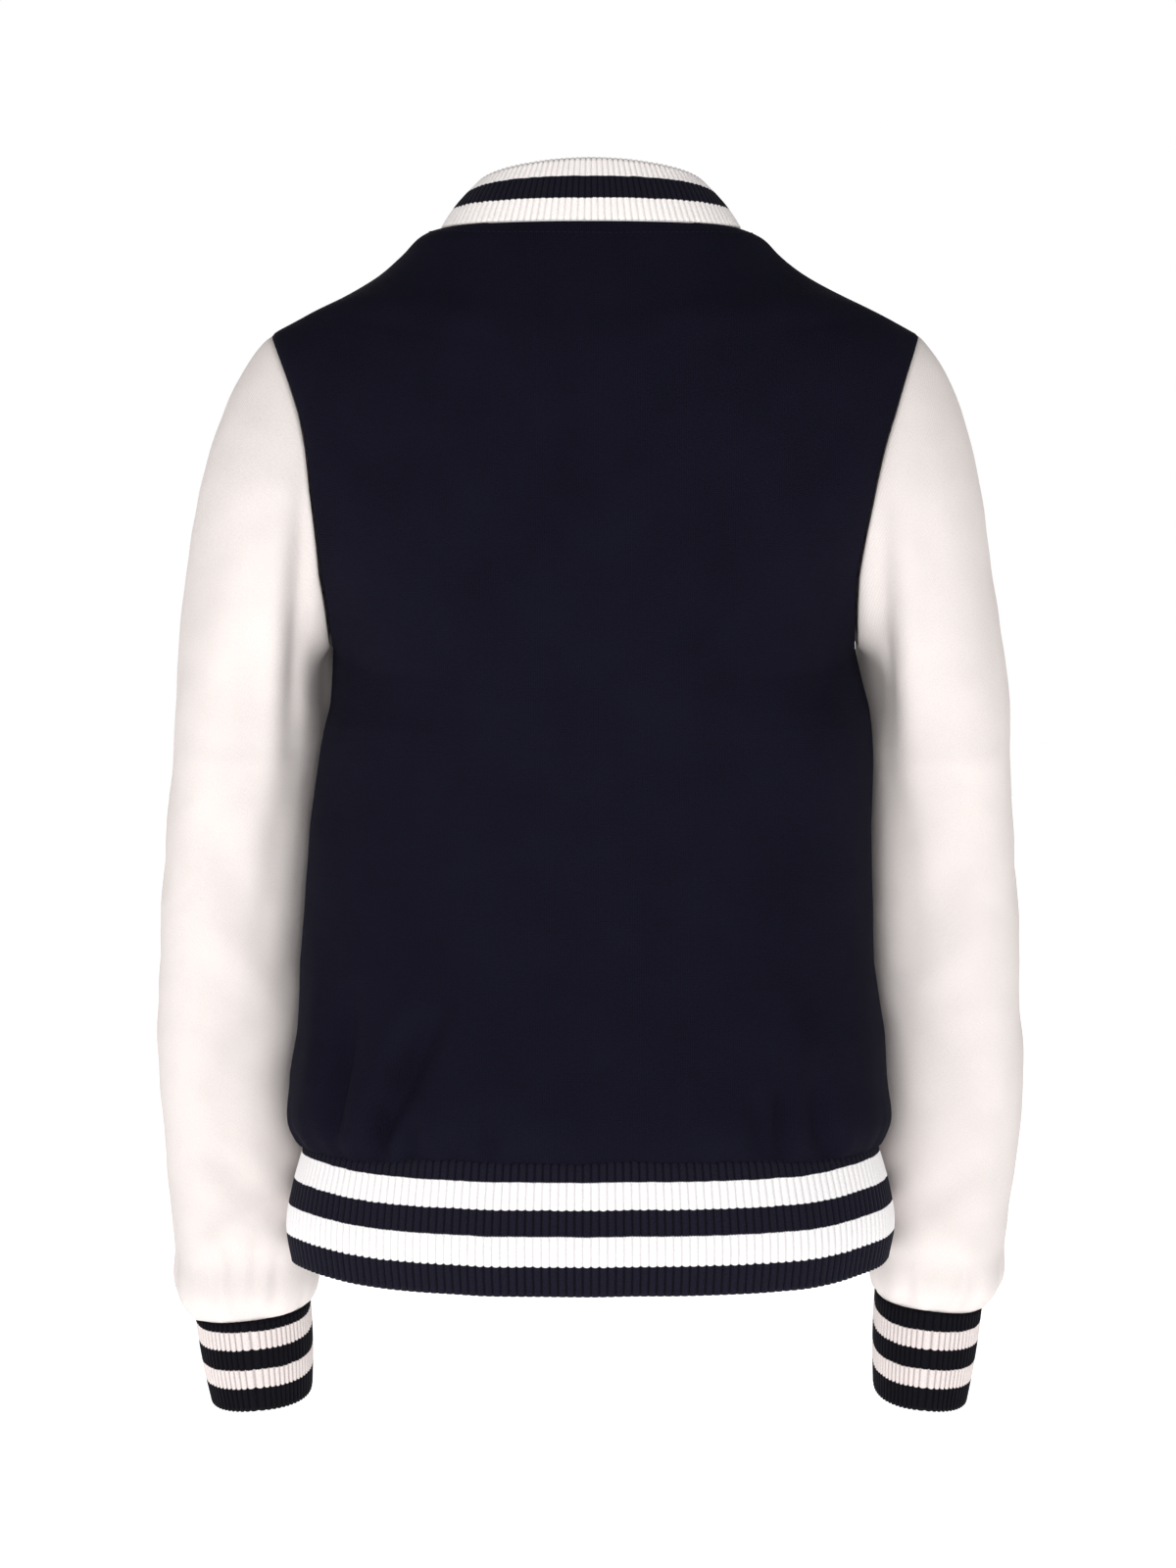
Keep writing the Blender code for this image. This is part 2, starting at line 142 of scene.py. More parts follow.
# Painted studio floor: matt white, with a trace of glow so that it stays white far away.
floor_paint, tree = new_material("matt_white_paint")
grain = node(tree, "ShaderNodeTexNoise", {"Scale": 40.0, "Detail": 2.0})
tone = ramp(tree, grain.outputs["Fac"], "#f2f2f2", "#f7f7f7")
shader = node(
    tree, "ShaderNodeBsdfPrincipled",
    {
        "Roughness": 0.9,
        "Emission Color": (1.0, 1.0, 1.0, 1.0),
        "Emission Strength": FLOOR_GLOW,
    },
    {"Base Color": tone.outputs["Color"]},
)
shown(tree, shader)
floor_mesh = bpy.data.meshes.new("studio_floor")
corners = [
    (across * FLOOR_SIZE / 2, along * FLOOR_SIZE / 2, FLOOR_LEVEL)
    for across, along in ((-1, -1), (1, -1), (1, 1), (-1, 1))
]
floor_mesh.from_pydata(corners, [], [(0, 1, 2, 3)])
floor_mesh.materials.append(floor_paint)
floor = bpy.data.objects.new("studio_floor", floor_mesh)
bpy.context.scene.collection.objects.link(floor)

LIGHTS = (
    # name, place, size, watts
    ("key_soft", (0.35, 3.3, -0.1), 1.8, 43.0),
    ("fill_left", (2.2, 1.6, -0.2), 1.2, 9.0),
    ("fill_right", (-2.2, 1.8, -0.2), 1.2, 7.0),
    ("front_fill", (0.3, -2.8, 0.5), 1.6, 24.0),
)
for name, place, size, watts in LIGHTS:
    lamp = bpy.data.lights.new(name, "AREA")
    lamp.size = size
    lamp.energy = watts
    holder = bpy.data.objects.new(name, lamp)
    holder.location = place
    holder.rotation_euler = (VIEW_TARGET - Vector(place)).to_track_quat("-Z", "Y").to_euler()
    bpy.context.scene.collection.objects.link(holder)

# ---------------------------------------------------------------------------
# Back
# One panel of navy brushed cotton jersey from the neck seam to the hem seam. It is sewn to
# the fronts at the side and shoulder seams, and to the sleeves round the armholes.
# ---------------------------------------------------------------------------

CLOTH_WALL = 1.9
# How square a row of the body is from the hem to the underarm, and at the shoulders.
BODY_POWER = 2.35
NECK_POWER = 2.0
# How late a row climbs from its middle to its edge, and how much less the front's rows arch.
BACK_RISE = 2.5
FRONT_RISE = 1.8
FRONT_ARCH = 0.75
ARMHOLE_MIDDLE = -152.0
ARMHOLE_HALF = 90.0
ARMHOLE_BACK = 53.0
ARMHOLE_FRONT = 47.0

# height: 0 hem seam, 1 underarm, 2 shoulder point, 3 neck seam; sizes in millimetres
CENTRE = np.array([
    # height, back_y, back_z, front_y, front_z
    (0.00, 110.0, -529.0, -102.0, -531.0),
    (0.06, 114.0, -514.0, -106.0, -516.0),
    (0.20, 111.0, -472.0, -106.0, -474.0),
    (0.45, 105.0, -398.0, -104.0, -402.0),
    (0.75, 105.0, -308.0, -108.0, -312.0),
    (1.00, 110.0, -258.0, -114.0, -262.0),
    (1.35, 112.0, -196.0, -113.0, -208.0),
    (1.70, 106.0, -132.0, -104.0, -158.0),
    (2.00, 95.0, -76.0, -94.0, -118.0),
    (2.40, 83.0, -43.0, -86.0, -95.0),
    (3.00, 62.0, 1.0, -72.0, -62.0),
])
ROW = np.array([
    # height, turn of a row at its edge, rise of its arch
    (0.00, 90.0, 0.0),
    (0.85, 90.0, 0.0),
    (1.00, 82.0, 0.0),
    (1.30, 62.0, 6.0),
    (1.65, 53.0, 36.0),
    (2.00, 50.0, 100.0),
    (2.45, 68.0, 45.0),
    (3.00, 90.0, 0.0),
])
SIDE = np.array([
    # height, half_width, z
    (0.00, 168.0, -534.0),
    (0.06, 175.5, -519.0),
    (0.14, 174.5, -496.0),
    (0.30, 169.0, -450.0),
    (0.47, 165.0, -400.0),
    (0.65, 162.5, -345.0),
    (0.80, 160.0, -300.0),
    (0.93, 154.5, -262.0),
    (1.00, 152.0, -242.0),
])
ARMHOLE = np.array([
    # z, back_x, front_x
    (-242.0, 152.0, 152.0),
    (-224.0, 152.0, 150.5),
    (-190.0, 155.0, 150.0),
    (-157.0, 160.0, 152.0),
    (-123.0, 166.0, 159.0),
    (-90.0, 176.0, 172.0),
    (-62.0, 187.0, 187.0),
])
SHOULDER = np.array([
    # part of the seam from the shoulder point, x, y, z
    (0.00, 187.0, 2.0, -62.0),
    (0.30, 152.0, 4.0, -45.0),
    (0.55, 124.0, 6.0, -29.0),
    (0.72, 109.5, 7.0, -17.0),
    (0.85, 100.0, 8.0, -7.5),
    (1.00, 86.0, 8.0, -1.0),
])
SWAY = np.array([
    # z, how far the body's sides lean to the wearer's left
    (-700.0, 0.0),
    (-535.0, 0.0),
    (-490.0, 1.8),
    (-465.0, 0.2),
    (-425.0, 2.6),
    (-345.0, 0.0),
    (-311.0, -3.0),
    (-276.0, -5.0),
    (-240.0, -1.5),
    (-200.0, 1.0),
    (-150.0, -1.0),
    (-107.0, -3.5),
    (-60.0, -4.0),
    (-20.0, 0.0),
    (60.0, 0.0),
])
SWAY_SHARE = np.array([
    # distance from the middle, share of the sway that this part of the jacket takes
    (0.0, 0.0),
    (60.0, 0.15),
    (155.0, 1.0),
    (170.0, 1.0),
    (215.0, 0.0),
])
# The hem seam dips near each side, and ripples a little where the band draws it in.
HEM_DIP = 3.2
HEM_DIP_REACH = 128.0
HEM_DIP_WIDTH = 24.0
HEM_SHARE = np.array([
    # z, share of the dip and of the ripples
    (-620.0, 0.0),
    (-560.0, 0.7),
    (-528.0, 1.0),
    (-470.0, 0.0),
])
RIPPLES = (
    # length, height, shift
    (8.3, 0.5, 1.1),
    (17.0, 0.7, 0.0),
)
RIPPLES_END = 175.0
BODY_END = 180.0


def smooth(table, key, column):
    """Value of a table's column at a key, on a smooth curve through the rows."""
    keys = table[:, 0]
    values = table[:, column]
    slopes = np.gradient(values, keys)
    spot = np.clip(np.searchsorted(keys, key) - 1, 0, len(keys) - 2)
    width = keys[spot + 1] - keys[spot]
    part = (key - keys[spot]) / width
    squared = part * part
    cubed = squared * part
    return (
        (2 * cubed - 3 * squared + 1) * values[spot]
        + (cubed - 2 * squared + part) * width * slopes[spot]
        + (3 * squared - 2 * cubed) * values[spot + 1]
        + (cubed - squared) * width * slopes[spot + 1]
    )


def unit(vectors):
    """Vectors brought to length one."""
    return vectors / np.maximum(np.linalg.norm(vectors, axis=-1, keepdims=True), 1e-12)


def edge(height, face):
    """Where a body row ends: side seam, then armhole, then shoulder seam."""
    if height <= 1:
        return np.array((smooth(SIDE, height, 1), 0.0, smooth(SIDE, height, 2)))
    if height <= 2:
        turn = math.pi * (2 - height)
        level = ARMHOLE_MIDDLE + ARMHOLE_HALF * math.cos(turn)
        reach = ARMHOLE_BACK if face == "back" else -ARMHOLE_FRONT
        lift = SHOULDER[0, 2] * (1 - turn / math.pi)
        along = smooth(ARMHOLE, level, 1 if face == "back" else 2)
        return np.array((along, reach * math.sin(turn) + lift, level))
    return np.array([smooth(SHOULDER, height - 2, column) for column in (1, 2, 3)])


def row_shape(height):
    """Turn of a body row at its edge, and how square the row is."""
    squared = np.interp(height, (1.0, 2.0), (BODY_POWER, NECK_POWER))
    return math.radians(min(smooth(ROW, height, 1), 90.0)), 2 / squared


def body_row(height, parts, face):
    """Points of the body's outer surface across one row; parts run from -1 to 1."""
    end = edge(height, face)
    turn, power = row_shape(height)
    middle_y = smooth(CENTRE, height, 1 if face == "back" else 3)
    middle_z = smooth(CENTRE, height, 2 if face == "back" else 4)
    size = np.abs(parts)
    across = (np.sin(size * turn) / math.sin(turn)) ** power
    full = 1 - max(math.cos(turn), 0) ** power
    deep = (1 - np.maximum(np.cos(size * turn), 0) ** power) / full
    rise = size ** BACK_RISE if face == "back" else np.sin(size * math.pi / 2) ** FRONT_RISE
    arch = max(smooth(ROW, height, 2), 0) * size * size * (1 - size)
    if face == "front":
        arch = arch * FRONT_ARCH
    return np.column_stack((
        np.sign(parts) * end[0] * across,
        middle_y + (end[1] - middle_y) * deep,
        middle_z + (end[2] - middle_z) * rise + arch,
    ))


def even(points, shares):
    """Points at even shares of the length of a fine line through the given points."""
    steps = np.linalg.norm(np.diff(points, axis=0), axis=1)
    run = np.concatenate(([0.0], np.cumsum(steps)))
    spots = shares * run[-1]
    return np.column_stack([np.interp(spots, run, points[:, axis]) for axis in range(3)])


def body_heights(side, arm, shoulder):
    """Heights of the fine rows from the hem seam to the neck seam."""
    return np.concatenate((
        np.linspace(0, 1, side, endpoint=False),
        np.linspace(1, 2, arm, endpoint=False),
        np.linspace(2, 3, shoulder),
    ))


def swayed(grid):
    """The small unevenness of the two sides, which no two hangings of a jacket share."""
    reach = np.abs(grid[..., 0])
    moved = grid.copy()
    sway = np.interp(grid[..., 2], *SWAY.T)
    moved[..., 0] += sway * np.interp(reach, *SWAY_SHARE.T)
    ripple = sum(
        height * np.sin(grid[..., 0] / length + shift) for length, height, shift in RIPPLES
    )
    dip = HEM_DIP * np.exp(-((reach - HEM_DIP_REACH) / HEM_DIP_WIDTH) ** 2)
    dip = dip + ripple * np.clip(1 - reach / RIPPLES_END, 0, 1)
    near_hem = np.interp(grid[..., 2], *HEM_SHARE.T)
    moved[..., 2] -= near_hem * np.where(reach < BODY_END, dip, 0.0)
    return moved


def outward(grid, wraps):
    """Outward direction at every point of a grid."""
    wide = np.concatenate((grid, grid[:, :1]), axis=1) if wraps else grid
    face = np.cross(wide[1:, 1:] - wide[:-1, :-1], wide[1:, :-1] - wide[:-1, 1:])
    total = np.zeros_like(wide)
    for rows in (slice(0, -1), slice(1, None)):
        for columns in (slice(0, -1), slice(1, None)):
            total[rows, columns] += face
    if wraps:
        total[:, 0] += total[:, -1]
        total = total[:, :-1]
    return unit(total)


FACINGS = {
    # facing: direction it looks, axis that runs across it
    "back": (np.array((0.0, 1.0, 0.0)), 0),
    "front": (np.array((0.0, -1.0, 0.0)), 0),
    "left": (np.array((1.0, 0.0, 0.0)), 1),
    "right": (np.array((-1.0, 0.0, 0.0)), 1),
}
# A fold is full where the cloth looks its way, and fades out where the cloth turns aside.
FOLD_FACING = 1.6
# The part of a fold at which its end stops fading, so that a fold never ends in a point.
FOLD_END = 0.04


def folded(grid, normals, folds):
    """Raises soft ridges and sinks soft troughs along straight lines on the cloth."""
    moved = np.zeros(grid.shape[:2])
    for facing, across_0, level_0, across_1, level_1, half_width, height in folds:
        look, axis = FACINGS[facing]
        seen = np.clip(normals @ look * FOLD_FACING, 0, 1)
        start = np.array((across_0, level_0))
        run = np.array((across_1, level_1)) - start
        here = np.stack((grid[..., axis], grid[..., 2]), axis=-1) - start
        part = np.clip((here @ run) / (run @ run), 0, 1)
        off = np.linalg.norm(here - part[..., None] * run, axis=-1)
        fade = np.sin(np.clip(part, FOLD_END, 1 - FOLD_END) * math.pi) ** 0.6
        moved += height * np.exp(-(off / half_width) ** 2) * fade * seen
    return grid + normals * moved[..., None]


def crumpled(grid, normals, length, depth, seed, stretch):
    """Lets the cloth wander in and out by smooth noise of one wavelength."""
    flat = grid.reshape(-1, 3) * np.array(stretch) / length + seed
    waves = np.array([noise.noise(Vector(point)) for point in flat]).reshape(grid.shape[:2])
    return grid + normals * (waves * depth)[..., None]


def lengths_up(grid):
    """Length of cloth from the first row up to every point, along its column."""
    steps = np.linalg.norm(np.diff(grid, axis=0), axis=2)
    return np.concatenate((np.zeros((1, grid.shape[1])), np.cumsum(steps, axis=0)))


def lengths_across(grid):
    """Length of cloth from the first column to every point, along its row."""
    steps = np.linalg.norm(np.diff(grid, axis=1), axis=2)
    return np.concatenate((np.zeros((grid.shape[0], 1)), np.cumsum(steps, axis=1)), axis=1)


def seam_distance(grid, rows=(), columns=()):
    """Distance of every point from the named edge rows and columns, along the grid."""
    near = np.full(grid.shape[:2], 1e3)
    up = lengths_up(grid)
    for row in rows:
        near = np.minimum(near, np.abs(up - up[row]))
    across = lengths_across(grid)
    for column in columns:
        near = np.minimum(near, np.abs(across - across[:, [column]]))
    return near


def sunk_seams(grid, normals, near, depth, width):
    """Pulls the cloth in towards a seam, as the stitching does."""
    return grid - normals * (depth * np.exp(-near / width))[..., None]


def metric(grid, middle):
    """Lengths across and up the cloth in millimetres, from a middle column."""
    across = lengths_across(grid)
    across -= across[:, [middle]]
    up = np.repeat(lengths_up(grid)[:, [middle]], grid.shape[1], axis=1)
    return np.stack((across, up), axis=-1)


def sewn(name, grid, lengths, wall, material, wraps=False, base=None):
    """Closed thin shell from its outer grid, with its lengths as a UV map in metres.

    The inner face lies a wall's thickness inside the base, which is the outer grid itself
    unless a smoother one is given.
    """
    rows, columns = grid.shape[:2]
    base = grid if base is None else base
    inner = base - outward(base, wraps) * wall
    vertices = np.concatenate((grid.reshape(-1, 3), inner.reshape(-1, 3))) * MM
    count = rows * columns
    spot = np.arange(count).reshape(rows, columns)
    ahead = np.roll(spot, -1, axis=1) if wraps else spot[:, 1:]
    here = spot if wraps else spot[:, :-1]
    quads = np.stack((here[:-1], ahead[:-1], ahead[1:], here[1:]), axis=-1).reshape(-1, 4)
    inside = quads[:, ::-1] + count
    if wraps:
        loops = [spot[0], spot[-1][::-1]]
    else:
        edges = (spot[0, :-1], spot[:-1, -1], spot[-1, :0:-1], spot[:0:-1, 0])
        loops = [np.concatenate(edges)]
    rims = []
    for loop in loops:
        after = np.roll(loop, -1)
        rims.append(np.stack((after, loop, loop + count, after + count), axis=-1))
    faces = np.concatenate([quads, inside] + rims)
    mesh = bpy.data.meshes.new(name)
    mesh.vertices.add(len(vertices))
    mesh.vertices.foreach_set("co", vertices.reshape(-1))
    mesh.loops.add(faces.size)
    mesh.loops.foreach_set("vertex_index", faces.reshape(-1))
    mesh.polygons.add(len(faces))
    mesh.polygons.foreach_set("loop_start", np.arange(len(faces)) * 4)
    mesh.polygons.foreach_set("use_smooth", np.ones(len(faces), dtype=bool))
    mesh.update(calc_edges=True)
    flat = lengths.reshape(-1, 2) * MM
    corner = flat[faces % count]
    if wraps:
        girth = float(flat[:, 0].max() - flat[:, 0].min())
        step = girth / (columns - 1)
        # A face that closes the ring would run back across the whole map, so its far
        # corners go one step past the girth.
        spread = corner[..., 0].max(axis=1) - corner[..., 0].min(axis=1)
        low = corner[..., 0] < flat[:, 0].min() + girth / 2
        corner[..., 0] += np.where((spread > girth / 2)[:, None] & low, girth + step, 0.0)
    layer = mesh.uv_layers.new(name="cloth")
    layer.data.foreach_set("uv", corner.reshape(-1))
    mesh.materials.append(material)
    mesh.validate()
    piece = bpy.data.objects.new(name, mesh)
    bpy.context.scene.collection.objects.link(piece)
    return piece


def hand_in(piece, stands_for):
    """Attaches a piece of cloth to the root and hides the CAD node that it stands for."""
    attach(piece, "root")
    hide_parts(stands_for)


def bands(tree, place, direction, spacing, values):
    """Rows or columns of knit, a real spacing in millimetres apart."""
    return node(
        tree, "ShaderNodeTexWave",
        {"Scale": math.pi / 10 / spacing, **values},
        {"Vector": place},
        wave_type="BANDS", bands_direction=direction,
    )


def in_millimetres(tree, turn=0.0):
    """The piece's cloth map in millimetres, turned by an angle in degrees."""
    place = node(tree, "ShaderNodeUVMap", uv_map="cloth")
    scaled = node(
        tree, "ShaderNodeMapping",
        {"Rotation": (0.0, 0.0, math.radians(turn)), "Scale": (1 / MM, 1 / MM, 1.0)},
        {"Vector": place.outputs["UV"]},
    )
    return scaled.outputs["Vector"]


def jersey(name, cloth, shade, roughness, sheen, shine, knit_mm, bump):
    """Brushed cotton jersey: a matt face of fine knit columns under a short soft nap.

    Real columns lie about 0.8 mm apart, and are drawn a little coarser so that they show.
    """
    made, tree = new_material(name)
    place = in_millimetres(tree, shade["turn"])
    columns = bands(
        tree, place, "X", knit_mm, {"Distortion": 1.2, "Detail": 2.0, "Detail Scale": 1.5},
    )
    rows = bands(tree, place, "Y", knit_mm * 0.8, {"Distortion": 1.6, "Detail": 2.0})
    nap = node(
        tree, "ShaderNodeTexNoise",
        {"Scale": 0.9, "Detail": 4.0, "Roughness": 0.65},
        {"Vector": place},
    ).outputs["Fac"]
    patch = node(tree, "ShaderNodeTexNoise", {"Scale": 0.022, "Detail": 3.0}, {"Vector": place})
    knit = arithmetic(tree, "MULTIPLY", columns.outputs["Fac"], rows.outputs["Fac"])
    mottled = arithmetic(tree, "ADD", arithmetic(tree, "MULTIPLY", knit, 0.45), nap)
    worn = arithmetic(tree, "MULTIPLY", patch.outputs["Fac"], 0.35)
    total = arithmetic(tree, "ADD", mottled, worn)
    tone = ramp(tree, total, shade["low"], shade["high"], start=0.35)
    height = arithmetic(tree, "ADD", knit, arithmetic(tree, "MULTIPLY", nap, 0.6))
    relief = node(
        tree, "ShaderNodeBump", {"Strength": bump, "Distance": 0.3 * MM}, {"Height": height},
    )
    shader = node(
        tree, "ShaderNodeBsdfPrincipled",
        {
            "Roughness": roughness,
            "Sheen Weight": sheen,
            "Sheen Roughness": 0.45,
            "Sheen Tint": linear(cloth),
            "Specular IOR Level": shine,
        },
        {"Base Color": tone.outputs["Color"], "Normal": relief.outputs["Normal"]},
    )
    shown(tree, shader)
    return made


NAVY_JERSEY = jersey(
    "navy_brushed_jersey", "#3a3a66",
    {"low": "#05050c", "high": "#131220", "turn": 0.0},
    roughness=0.92, sheen=0.01, shine=0.06, knit_mm=1.3, bump=0.45,
)

BACK_FOLDS = (
    # facing, across and level of both ends, half width, height
    ("back", 84.0, -438.0, 127.0, -528.0, 8.0, -9.0),
    ("back", 98.0, -425.0, 140.0, -515.0, 10.0, 4.5),
    ("back", 137.0, -436.0, 150.0, -526.0, 5.5, -9.0),
    ("back", 156.0, -420.0, 162.0, -520.0, 7.0, 3.0),
    ("back", 119.0, -498.0, 121.0, -545.0, 4.2, -8.0),
    ("back", 101.0, -500.0, 104.0, -545.0, 4.5, -6.5),
    ("back", 56.0, -503.0, 58.0, -545.0, 4.5, -6.0),
    ("back", 33.0, -514.0, 34.0, -535.0, 3.5, -2.4),
    ("back", -40.0, -516.0, -41.0, -535.0, 3.5, -2.4),
    ("back", -94.0, -494.0, -98.0, -545.0, 4.8, -7.0),
    ("back", -109.0, -482.0, -106.0, -545.0, 4.8, -8.0),
    ("back", -129.0, -474.0, -135.0, -545.0, 6.0, -8.5),
    ("back", -116.0, -440.0, -146.0, -520.0, 9.0, 3.4),
    ("back", 146.0, -98.0, 124.0, -148.0, 11.0, -2.6),
    ("back", -147.0, -98.0, -126.0, -150.0, 11.0, -2.4),
    ("back", 150.0, -200.0, 128.0, -268.0, 12.0, -2.4),
    ("back", -150.0, -206.0, -126.0, -280.0, 12.0, -2.6),
    ("back", 96.0, -190.0, 84.0, -400.0, 30.0, -2.2),
    ("back", -92.0, -200.0, -88.0, -420.0, 32.0, -2.4),
    ("back", 30.0, -300.0, 22.0, -500.0, 26.0, 1.2),
    ("back", -40.0, -260.0, -52.0, -480.0, 26.0, 1.3),
    ("back", 118.0, -60.0, 70.0, -34.0, 12.0, -1.2),
    ("back", -118.0, -60.0, -72.0, -34.0, 12.0, -1.2),
)
BACK_COLUMNS = 121
BACK_SIDE_ROWS = 100
BACK_ARM_ROWS = 60
BACK_SHOULDER_ROWS = 40
FINE_PARTS = np.linspace(1, -1, 401)
BODY_CRUMPLES = (
    # wavelength, depth, shift of the seed, stretch of the waves
    (85.0, 2.2, 0.0, (1.0, 1.0, 0.55)),
    (24.0, 0.5, 7.0, (1.0, 1.0, 0.6)),
)
# Folds die out this far from a seam, which stays sunk where the thread pulls it in.
SEAM_HOLD = 7.0
BODY_SEAM = (1.1, 2.6)  # depth, width
# Gathers above the hem seam: spacing, depth, how far up they reach and where they start.
GATHER_SPACING = 9.0
GATHER_DEPTH = 4.2
GATHER_REACH = 16.0
GATHER_START = 2.5


def creased(base, normals, folds, crumples, near, seed):
    """Folds and crumples the cloth between its seams, which hold it down."""
    grid = folded(base, normals, folds)
    for length, depth, shift, stretch in crumples:
        grid = crumpled(grid, normals, length, depth, seed + shift, stretch)
    return base + (grid - base) * (1 - np.exp(-near / SEAM_HOLD))[..., None]


def gathered(grid, base, normals, waves, depth, reach):
    """Small pleats that rise from the first row's seam and fade out up the cloth."""
    up = seam_distance(base, rows=(0,))
    fade = np.exp(-up / reach) * (1 - np.exp(-up / GATHER_START))
    return grid + normals * (np.array(waves)[None, :] * depth * fade)[..., None]


def body_finish(grid, folds, rows, columns, seed):
    """Folds, unevenness, hem gathers and sunk seams of a body panel."""
    base = swayed(grid)
    normals = outward(base, False)
    near = seam_distance(base, rows=rows, columns=columns)
    grid = creased(base, normals, folds, BODY_CRUMPLES, near, seed)
    waves = [noise.noise(Vector((*point[:2] / GATHER_SPACING, seed))) for point in base[0]]
    grid = gathered(grid, base, normals, waves, GATHER_DEPTH, GATHER_REACH)
    return sunk_seams(grid, normals, near, *BODY_SEAM)


heights = body_heights(BACK_SIDE_ROWS, BACK_ARM_ROWS, BACK_SHOULDER_ROWS)
shares = np.linspace(0, 1, BACK_COLUMNS)
back_grid = np.array([even(body_row(height, FINE_PARTS, "back"), shares) for height in heights])
back_lengths = metric(back_grid, BACK_COLUMNS // 2)
back_grid = body_finish(back_grid, BACK_FOLDS, (0, -1), (0, -1), 3.1)
PANELS = {"back_panel": back_grid}
back = sewn("back_panel", back_grid, back_lengths, CLOTH_WALL, NAVY_JERSEY)
hand_in(back, "back")

# ---------------------------------------------------------------------------
# Fronts
# Two panels of the same navy jersey. The right front laps 15 mm past the centre line over
# the left one, and the snaps close them. Each free edge is turned in and stitched.
# ---------------------------------------------------------------------------

LAP = 15.0
LAP_DEPTH = 2.7
# Where the under front comes back out to the body's surface, at the shoulders and the neck.
LAP_TURN = (24.0, 20.5)
LAP_CLEAR = (42.0, 28.0)
LAP_TURN_SHARE = 0.55
FRONT_COLUMNS = 65
FRONT_FOLDS = (
    # facing, across and level of both ends, half width, height
    ("front", 88.0, -430.0, 122.0, -520.0, 13.0, -4.0),
    ("front", 60.0, -440.0, 76.0, -525.0, 12.0, 2.4),
    ("front", 140.0, -430.0, 152.0, -520.0, 8.0, -3.6),
    ("front", 56.0, -500.0, 58.0, -531.0, 5.0, -1.6),
    ("front", 98.0, -498.0, 101.0, -531.0, 5.0, -1.9),
    ("front", 128.0, -490.0, 131.0, -531.0, 6.0, -2.1),
    ("front", 138.0, -118.0, 104.0, -176.0, 12.0, -2.8),
    ("front", 144.0, -206.0, 110.0, -262.0, 12.0, -2.6),
    ("front", 80.0, -190.0, 74.0, -400.0, 28.0, -2.4),
    ("front", 112.0, -72.0, 82.0, -120.0, 13.0, -1.6),
    ("front", -84.0, -436.0, -118.0, -522.0, 13.0, -4.2),
    ("front", -62.0, -430.0, -70.0, -520.0, 12.0, 2.2),
    ("front", -142.0, -430.0, -154.0, -520.0, 8.0, -3.6),
    ("front", -52.0, -500.0, -55.0, -531.0, 5.0, -1.5),
    ("front", -103.0, -496.0, -106.0, -531.0, 5.0, -1.9),
    ("front", -132.0, -488.0, -134.0, -531.0, 6.0, -2.1),
    ("front", -136.0, -116.0, -102.0, -172.0, 12.0, -2.6),
    ("front", -142.0, -202.0, -112.0, -266.0, 12.0, -2.8),
    ("front", -84.0, -200.0, -76.0, -410.0, 28.0, -2.2),
    ("front", -114.0, -72.0, -84.0, -122.0, 13.0, -1.7),
)


def front_points(height, under):
    """One fine row of a front from its free edge past the centre line to its side edge."""
    end = edge(height, "front")
    turn, power = row_shape(height)
    share = (LAP / end[0]) ** (1 / power) * math.sin(turn)
    first = -math.asin(share) / turn
    row = body_row(height, np.linspace(first, 1, 301), "front")
    if under:
        near = np.interp(height, (2.0, 3.0), LAP_TURN)
        clear = np.interp(height, (2.0, 3.0), LAP_CLEAR)
        depths = (LAP_DEPTH, LAP_DEPTH * LAP_TURN_SHARE, 0.0)
        row[:, 1] += np.interp(row[:, 0], (LAP, near, clear), depths)
    return row


def mirrored(grid):
    """The same piece on the other side of the jacket."""
    return grid[:, ::-1] * np.array((-1.0, 1.0, 1.0))


shares = np.linspace(0, 1, FRONT_COLUMNS)
under_front = np.array([even(front_points(height, True), shares) for height in heights])
over_front = mirrored(np.array([even(front_points(height, False), shares) for height in heights]))
FRONTS = (
    # name, CAD node, grid, side column, free edge column, seed
    ("front_panel_left", "front_left", under_front, -1, 0, 11.3),
    ("front_panel_right", "front_right", over_front, 0, -1, 17.9),
)
fronts = {}
for name, stands_for, grid, side, free, seed in FRONTS:
    lengths = metric(grid, free)
    grid = body_finish(grid, FRONT_FOLDS, (0, -1), (side,), seed)
    PANELS[name] = grid
    piece = fronts[name] = sewn(name, grid, lengths, CLOTH_WALL, NAVY_JERSEY)
    hand_in(piece, stands_for)

# ---------------------------------------------------------------------------
# Sleeves
# Long set-in sleeves of cream brushed cotton with a fine slanting weave. Each is sewn round
# the armhole at its top, and blouses over the narrower cuff that gathers its lower end.
# ---------------------------------------------------------------------------

CREAM_CLOTH = jersey(
    "cream_brushed_cotton", "#fff6ee",
    {"low": "#d0c8c5", "high": "#e5ddda", "turn": 38.0},
    roughness=0.85, sheen=0.05, shine=0.2, knit_mm=1.1, bump=0.3,
)
SLEEVE = np.array([
    # z, middle_x, middle_y, half_width, half_depth, forward_tilt, droop of the outer side
    (-300.0, 202.7, -24.0, 41.9, 56.0, 8.0, 0.0),
    (-360.0, 206.5, -33.0, 44.0, 54.0, 9.0, 0.0),
    (-430.0, 209.5, -43.0, 45.0, 52.0, 9.0, 0.0),
    (-490.0, 212.5, -51.0, 43.5, 50.0, 10.0, 0.0),
    (-545.0, 210.0, -58.0, 43.5, 48.0, 11.0, 0.0),
    (-600.0, 207.0, -65.0, 42.0, 45.0, 10.0, 0.03),
    (-631.0, 206.3, -69.0, 40.6, 42.5, 8.0, 0.08),
    (-641.5, 203.3, -72.0, 34.2, 36.0, 6.0, 0.12),
])
SLEEVE_POWER = 0.8
